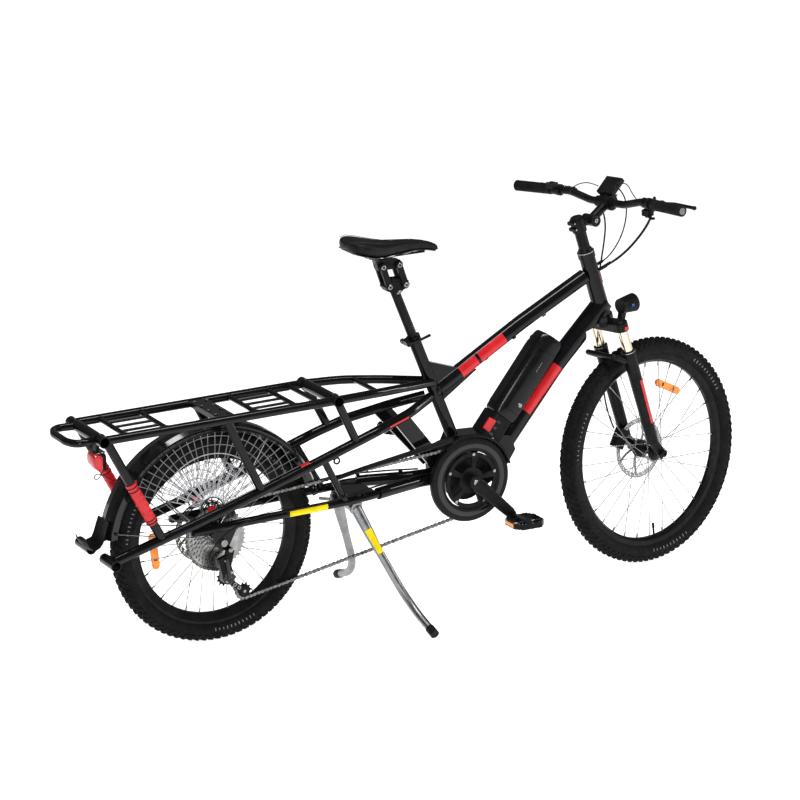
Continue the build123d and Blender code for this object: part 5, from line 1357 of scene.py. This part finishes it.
def make_cords():
    """All hoses and housings: three to the head tube's port, one to the front brake, one along each stay."""
    lines = {}
    for name, route, diameter in (("shift_housing", SHIFT_HOUSING, HOSE),
                                  ("rear_brake_hose", REAR_BRAKE_HOSE, HOSE),
                                  ("display_wire", DISPLAY_WIRE, WIRE)):
        points = [at(*p) for p in route]
        lines[name] = make_cord(name, points, diameter, "steering_cables", ("steering", "frame"))
    points = [ahead(*p) for p in FRONT_BRAKE_HOSE]
    lines["front_brake_hose"] = make_cord("front_brake_hose", points, HOSE, "front_hose",
                                          ("steering", "fork_lowers"))
    points = [at(*p) for p in RIGHT_STAY_HOUSING]
    lines["stay_shift_housing"] = make_cord("stay_shift_housing", points, HOSE, "frame_cables",
                                            ("frame", "derailleur"))
    points = [at(*p) for p in LEFT_STAY_HOSE]
    lines["stay_brake_hose"] = make_cord("stay_brake_hose", points, HOSE, "frame_cables", ("frame",))
    ends = Shape()
    for name in ("shift_housing", "rear_brake_hose", "display_wire"):
        line = lines[name]
        ends.tube([line[-1], line[-1].lerp(line[-9], 0.9)], 4.6, 16)
    ends.piece("port_grommets", "rubber", bevel=0.5)
    ends = Shape()
    for name in ("shift_housing", "rear_brake_hose", "front_brake_hose"):
        line = lines[name]
        ends.tube([line[0], line[0].lerp(line[8], 0.8)], [4.6, 3.6], 16)
    ends.piece("hose_nuts", "black_alloy", "steering", bevel=0.4)
    clips = Shape()
    for y_sign, name in ((-1, "stay_shift_housing"), (1, "stay_brake_hose")):
        for share in (0.12, 0.33, 0.52):
            line = lines[name]
            spot = line[int(share * len(line))]
            clips.block(spot - Vector((0, 0, 3 * MM)), (9, 9, 8), (1, 0.25 * y_sign, 0))
    clips.piece("stay_clips", "black_plastic", bevel=1.0)


# ---------------------------------------------------------------- cockpit
def grip_point(side, from_end):
    """Point inside a grip stretch of the bar, a distance in from its end, with the bars turned."""
    end, knee = Vector((1252, 350 * side, 1114)), Vector((1284, 150 * side, 1114))
    return ahead(*(end + (knee - end).normalized() * from_end))


def make_grips():
    """Ribbed rubber grips with end caps."""
    grip, caps = Shape(), Shape()
    for side in (-1, 1):
        outer, inner = grip_point(side, -1.5), grip_point(side, 134)
        axis = (inner - outer).normalized()
        profile = [(0.5, 0), (13.5, 0), (16, 2.5)]
        offset = 6.0
        while offset < 118:
            profile += [(15.9, offset), (15.9, offset + 2.6), (14.9, offset + 3.1), (14.9, offset + 4.0)]
            offset += 4.5
        profile += [(16, 120), (16, 133), (12, 134), (0.5, 134)]
        grip.lathe(profile, outer, axis, 36)
        caps.lathe([(0.5, -0.6), (9, -0.6), (10, 0.4), (0.5, 0.4)], outer, axis, 28)
    cover = grip.piece("grip_sleeves", "rubber", "steering", replaces=["grips"], smooth=50)
    caps.piece("grip_end_caps", "grey_print", "steering", slot="black_plastic")


def make_lever_details():
    """Clamp bands, reservoir caps and bolts, the shifter's ribs and window, and the remote's keys."""
    bands, bolts = Shape(), Shape()
    for side in (-1, 1):
        a, b = grip_point(side, 155.5), grip_point(side, 168.5)
        axis = (b - a).normalized()
        bands.lathe(collar(11.3, 17, 0, 13), a, axis, 32)
        first, last = grip_point(side, 146), grip_point(side, 190)
        lift = facing(29, 0, -5) * MM
        cap = (first + last) / 2 + lift + Vector((0, 0, 8.6 * MM))
        bands.block(cap, (42, 15, 4), axis)
        for share in (0.12, 0.88):
            spot = first.lerp(last, share) + lift + Vector((0, 0, 9.6 * MM))
            bolts.tube([spot, spot + Vector((0, 0, 2.4 * MM))], 2.4, 10)
        lever = "left_lever_pull" if side > 0 else "right_lever_pull"
        joint, axis_up = pivot(lever), joint_axis(lever)
        axis_up = axis_up if axis_up.z > 0 else -axis_up
        for offset in (-8.4, 8.4):
            bolts.lathe(collar(0.4, 5, -1.1, 1.1), joint + axis_up * offset * MM, axis_up, 20)
    bands.piece("lever_clamps", "black_alloy", "steering", bevel=1.2)
    bolts.piece("lever_bolts", "steel", "steering", bevel=0.3)
    pod = pivot("paddle_push")
    up = joint_axis("paddle_push")
    up = up if up.z > 0 else -up
    ribs = Shape()
    for offset in (-5.5, -1.5, 2.5, 6.0):
        ribs.lathe(collar(16.6, 17.9, -0.9, 0.9), pod + up * offset * MM, up, 40)
    ribs.lathe([(0.5, 8), (15, 8), (12, 11), (0.5, 11)], pod, up, 40)
    ribs.piece("shifter_ribs", "black_plastic", "steering", bevel=0.5)
    window = Shape()
    spot = pod + facing(13, -10, 4) * MM
    window.block(spot, (10, 5, 6), facing(0.6, -0.8, 0))
    window.piece("gear_window", "clear_lens", "steering", bevel=0.6, slot="grey_plastic")
    remote = Shape()
    place = grip_point(1, 152) + facing(-19, 0, 15) * MM
    for x in (-7.5, 7.5):
        remote.block(place + facing(x * 0.9, 9.0, 9.4) * MM, (6, 6, 2), facing(1, 0, 0))
    remote.piece("remote_keys", "grey_print", "steering", bevel=0.8, slot="grey_plastic")


STEERER_X, STEERER_Z = 1263, 760
STEERER_SLOPE = 0.30573


def on_steerer(height, y=0, forward=0, lift=0):
    """Point of the steering axis at a height, with the bars turned."""
    return ahead(STEERER_X - STEERER_SLOPE * (height - STEERER_Z) + forward, y, height + lift)


def make_stem_details():
    """Pivot cover, pinch bolts, face-plate bolts and spacer lines of the adjustable stem."""
    centre, across = ahead(1224, 0, 1054), FRONT_ACROSS
    boss, bolts = Shape(), Shape()
    for side in (-1, 1):
        boss.lathe([(6, 21.5), (17.6, 21.5), (17.6, 24), (14.5, 26), (10, 26), (9, 24), (6, 24)], centre,
                   across * side, 40)
        bolts.lathe(collar(2.6, 6.4, 21, 25.4), centre, across * side, 24)
    boss.block(ahead(1290, 0, 1096) + facing(20, 0, 4) * MM, (9, 38, 36), facing(1, 0, 0.2), facing(-0.2, 0, 1),
               0.9)
    for y in (-14, 14):
        for z in (-14, 14):
            spot = ahead(1290, 0, 1096) + facing(23 - z * 0.12, y, 4 + z) * MM
            bolts.tube([spot, spot + facing(4.5, 0, 0.9) * MM], 3.4, 6)
    rear = facing(-22, 0, -2) * MM
    for z in (1038, 1056):
        spot = on_steerer(z) + rear
        boss.block(spot, (12, 26, 10), facing(1, 0, 0.3))
        bolts.tube([spot - across * 14.5 * MM, spot + across * 14.5 * MM], 2.8, 10)
    boss.piece("stem_bosses", "black_alloy", "steering", bevel=1.0)
    bolts.piece("stem_bolts", "steel", "steering", bevel=0.3)
    lines = Shape()
    for z in (978, 992, 1006, 1018):
        spot = on_steerer(z)
        lines.lathe([(16.6, -0.5), (17.3, 0), (16.6, 0.5)], spot, STEER_AXIS, 40)
    top = on_steerer(1066)
    lines.lathe([(0.5, 0.2), (20, 0.2), (17, 5), (5, 5.6), (0.5, 3)], top, STEER_AXIS, 40)
    lines.piece("stem_cap_and_spacers", "black_alloy", "steering")


def make_display():
    """Glossy screen and back of the wedge-shaped display, and the two thin wires beside it."""
    centre = ahead(1290, 0, 1096) + facing(20, 6, 44) * MM
    x = facing(1, 0, 0.9).normalized()
    up = facing(-0.9, 0, 1).normalized()
    screen = Shape()
    screen.block(centre + up * 6.9 * MM, (50, 58, 1.2), x, up)
    screen.piece("display_screen", "gloss_plastic", "display", bevel=0.5, slot="gloss_plastic")
    back = Shape()
    back.block(centre - up * 6.6 * MM, (40, 46, 2.4), x, -up, 0.8)
    back.piece("display_back", "black_plastic", "display", bevel=1.5)
    for side, points in ((1, ((1288, 34, 1140), (1280, 60, 1150), (1268, 96, 1144), (1262, 128, 1124),
                              (1272, 138, 1112))),
                         (-1, ((1300, -24, 1140), (1300, -52, 1158), (1292, -88, 1156), (1280, -118, 1134),
                               (1284, -132, 1118)))):
        line = nurbs_line(f"display_loop_{side}", [ahead(*p) for p in points])
        name = "remote_wire" if side > 0 else "brake_sensor_wire"
        wire = Shape().tube(line, 1.5, 10).piece(name, "hose", "steering")


def make_headlamp():
    """Hollow lamp shell, clear lens and a small blue mark on the right side."""
    start, end = ahead(1328, 0, 784), ahead(1382, 0, 788)
    axis = (end - start).normalized()
    length = (end - start).length
    shell = Shape()
    shell.lathe([(8 * MM, 0), (20 * MM, 2 * MM), (23.5 * MM, 14 * MM), (27 * MM, length - 6 * MM),
                 (27.6 * MM, length), (24.6 * MM, length + 0.5 * MM), (23.5 * MM, length - 4 * MM),
                 (18 * MM, length - 14 * MM), (6 * MM, length - 18 * MM), (6 * MM, 6 * MM)], start, axis, 48,
                unit=1)
    shell.piece("headlamp_shell", "black_plastic", "headlamp", bevel=0.8)
    lens = Shape()
    lens.lathe([(0.5 * MM, length - 1.2 * MM), (23.4 * MM, length - 1.8 * MM), (23.4 * MM, length - 3.2 * MM),
                (0.5 * MM, length - 3.2 * MM)], start, axis, 40, unit=1)
    lens.piece("headlamp_lens", "clear_lens", "headlamp", slot="nickel")
    mark = Shape()
    side = facing(0, -1, 0)
    spot = start + axis * length * 0.55 + side * 25.0 * MM
    mark.block(spot, (9, 7, 1.2), axis, side)
    mark.piece("headlamp_mark", "blue_print", "headlamp", slot="black_plastic")


# ---------------------------------------------------------------- fork
LEG_SPREAD = 59.0
LEG_AHEAD, LEG_LIFT = 8 * 0.9563, 8 * 0.29237


def leg_place(side, height):
    """Point of a fork leg's centre line, which runs 8 mm ahead of the steering axis."""
    return on_steerer(height, LEG_SPREAD * side, LEG_AHEAD, LEG_LIFT)


def make_fork_details():
    """Wiper seals with their rings, leg caps, coloured flashes, the crown's mark and the axle lever."""
    seals, rings = Shape(), Shape()
    for side in (-1, 1):
        top = leg_place(side, 655)
        seals.lathe([(15.1, 0), (20.6, -1), (20.6, 5), (17, 10), (15.1, 10)], top, STEER_AXIS, 36)
        rings.lathe(collar(18.9, 21.2, 4.5, 7), top, STEER_AXIS, 36)
    seals.piece("fork_wipers", "rubber", "fork_lowers")
    rings.piece("wiper_rings", "steel", "fork_lowers", bevel=0.3)
    caps = Shape()
    for side in (-1, 1):
        top = leg_place(side, 750)
        caps.lathe([(0.5, 0.6), (16.5, 0.6), (16.5, 4), (12, 8), (0.5, 8)], top, STEER_AXIS, 12 if side > 0 else 36)
    caps.piece("fork_caps", "black_alloy", "steering", bevel=0.6)
    flash = Shape()
    for side in (-1, 1):
        a, b = leg_place(side, 436), leg_place(side, 572)
        patch_on_leg(flash, a, b, facing(0.25, side, 0), 0.34, 8, (17.2, 18.9, 19.9, 18.3))
    flash.piece("fork_flashes", "red_trim", "fork_lowers", smooth=60)
    mark = Shape()
    mark.block(leg_place(-1, 735) + facing(0, -20.6, 0) * MM, (14, 1.4, 10), facing(1, 0, 0))
    mark.piece("crown_mark", "red_trim", "steering", bevel=0.3)
    axle = Shape()
    axle.lathe([(4, 66), (11, 66), (11, 73), (8, 76), (4, 76)], FRONT, -FRONT_ACROSS, 28)
    axle.lathe([(4, 66), (11, 66), (11, 76), (4, 78)], FRONT, FRONT_ACROSS, 28)
    lever_start = FRONT + FRONT_ACROSS * 74 * MM
    axle.tube([lever_start, lever_start + facing(-18, 4, 12) * MM, lever_start + facing(-62, 2, 34) * MM],
              [5, 4.4, 5.2], 14)
    axle.piece("front_axle_lever", "black_alloy", "fork_lowers", bevel=0.6)


def make_caliper_details():
    """Ribs and mounting bolts on both brake calipers."""
    for name, body, centre, axis, angle, offset in (
            ("rear", "frame", REAR, ACROSS, 24, 51), ("front", "fork_lowers", FRONT, FRONT_ACROSS, 150, 41)):
        spot = around(centre, axis, 84 * MM, radians(angle), offset * MM)
        radial = (spot - centre - axis * offset * MM).normalized()
        tangent = radial.cross(axis)
        ribs, bolts = Shape(), Shape()
        for k in range(5):
            ribs.block(spot + radial * 17.2 * MM + tangent * (k * 10 - 20) * MM, (5, 20, 3), tangent, radial)
        for shift in (-20, 20):
            place = spot + tangent * shift * MM + axis * 12.6 * MM
            bolts.tube([place, place + axis * 4 * MM], 5, 6)
        ribs.piece(f"{name}_caliper_ribs", "black_alloy", body, bevel=0.8)
        bolts.piece(f"{name}_caliper_bolts", "steel", body, bevel=0.4)


make_saddle()
make_saddle_rails()
make_suspension_post()
make_cords()
make_grips()
make_lever_details()
make_stem_details()
make_display()
make_headlamp()
make_fork_details()
make_caliper_details()


# ---------------------------------------------------------------- stage, light and camera
def make_floor():
    """Wide pale floor, a millimetre under the tyres."""
    shape = Shape()
    size, drop = 30.0, 0.001
    shape.mesh.faces.new([shape.mesh.verts.new((x * size, y * size, -drop))
                          for x, y in ((-1, -1), (1, -1), (1, 1), (-1, 1))])
    data = bpy.data.meshes.new("studio_floor")
    shape.mesh.to_mesh(data)
    shape.mesh.free()
    floor = bpy.data.objects.new("studio_floor", data)
    bpy.context.scene.collection.objects.link(floor)
    data.materials.append(finish("studio_floor", (0.88, 0.88, 0.88), (0.9, 0.9, 0.9), (0.7, 0.8), grain=40,
                                 bump=0.01, patches=2.0, Emission_Color=(1, 1, 1, 1), Emission_Strength=0.9))


def area_light(name, place, target, size, power):
    data = bpy.data.lights.new(name, "AREA")
    data.shape = "RECTANGLE"
    data.size, data.size_y = size
    data.energy = power
    lamp = bpy.data.objects.new(name, data)
    lamp.location = place
    lamp.rotation_mode = "QUATERNION"
    lamp.rotation_quaternion = (Vector(target) - Vector(place)).to_track_quat("-Z", "Y")
    bpy.context.scene.collection.objects.link(lamp)


def make_lights():
    """A bright white studio: a soft sky, and lights overhead, from the side and from the front."""
    world = bpy.data.worlds.new("studio")
    world.use_nodes = True
    tree = world.node_tree
    sky = tree.nodes["Background"]
    sky.inputs["Color"].default_value = (1, 1, 1, 1)
    sky.inputs["Strength"].default_value = 0.14
    bpy.context.scene.world = world
    middle = (cad_low + cad_high) / 2
    area_light("overhead", middle + Vector((-0.3, -0.4, 3.2)), middle, (3.2, 0.5), 100)
    area_light("side", middle + Vector((-2.4, -3.4, 1.4)), middle, (0.3, 2.4), 55)
    area_light("front", middle + Vector((3.2, -1.6, 1.2)), middle, (0.3, 2.0), 45)


CAMERA = {"azimuth": -27.9, "elevation": 16.1, "roll": -0.5, "distance": 10.0, "lens": 159.55,
          "aim": (593.7, 0.0, 608.9)}


def make_camera():
    """Long lens from behind and to the right, a little above the deck."""
    data = bpy.data.cameras.new("camera")
    data.lens = CAMERA["lens"]
    data.sensor_width = 36.0
    data.clip_end = 100.0
    camera = bpy.data.objects.new("camera", data)
    a, e = radians(CAMERA["azimuth"]), radians(CAMERA["elevation"])
    back = Vector((sin(a) * cos(e), -cos(a) * cos(e), sin(e)))
    right = Vector((cos(a), sin(a), 0))
    up = back.cross(right)
    r = radians(CAMERA["roll"])
    right, up = right * cos(r) + up * sin(r), up * cos(r) - right * sin(r)
    turn = Matrix((right, up, back)).transposed().to_4x4()
    camera.matrix_world = Matrix.Translation(at(*CAMERA["aim"]) + back * CAMERA["distance"]) @ turn
    bpy.context.scene.collection.objects.link(camera)
    bpy.context.scene.camera = camera


bpy.context.scene.view_settings.view_transform = "Standard"
make_floor()
make_lights()
make_camera()
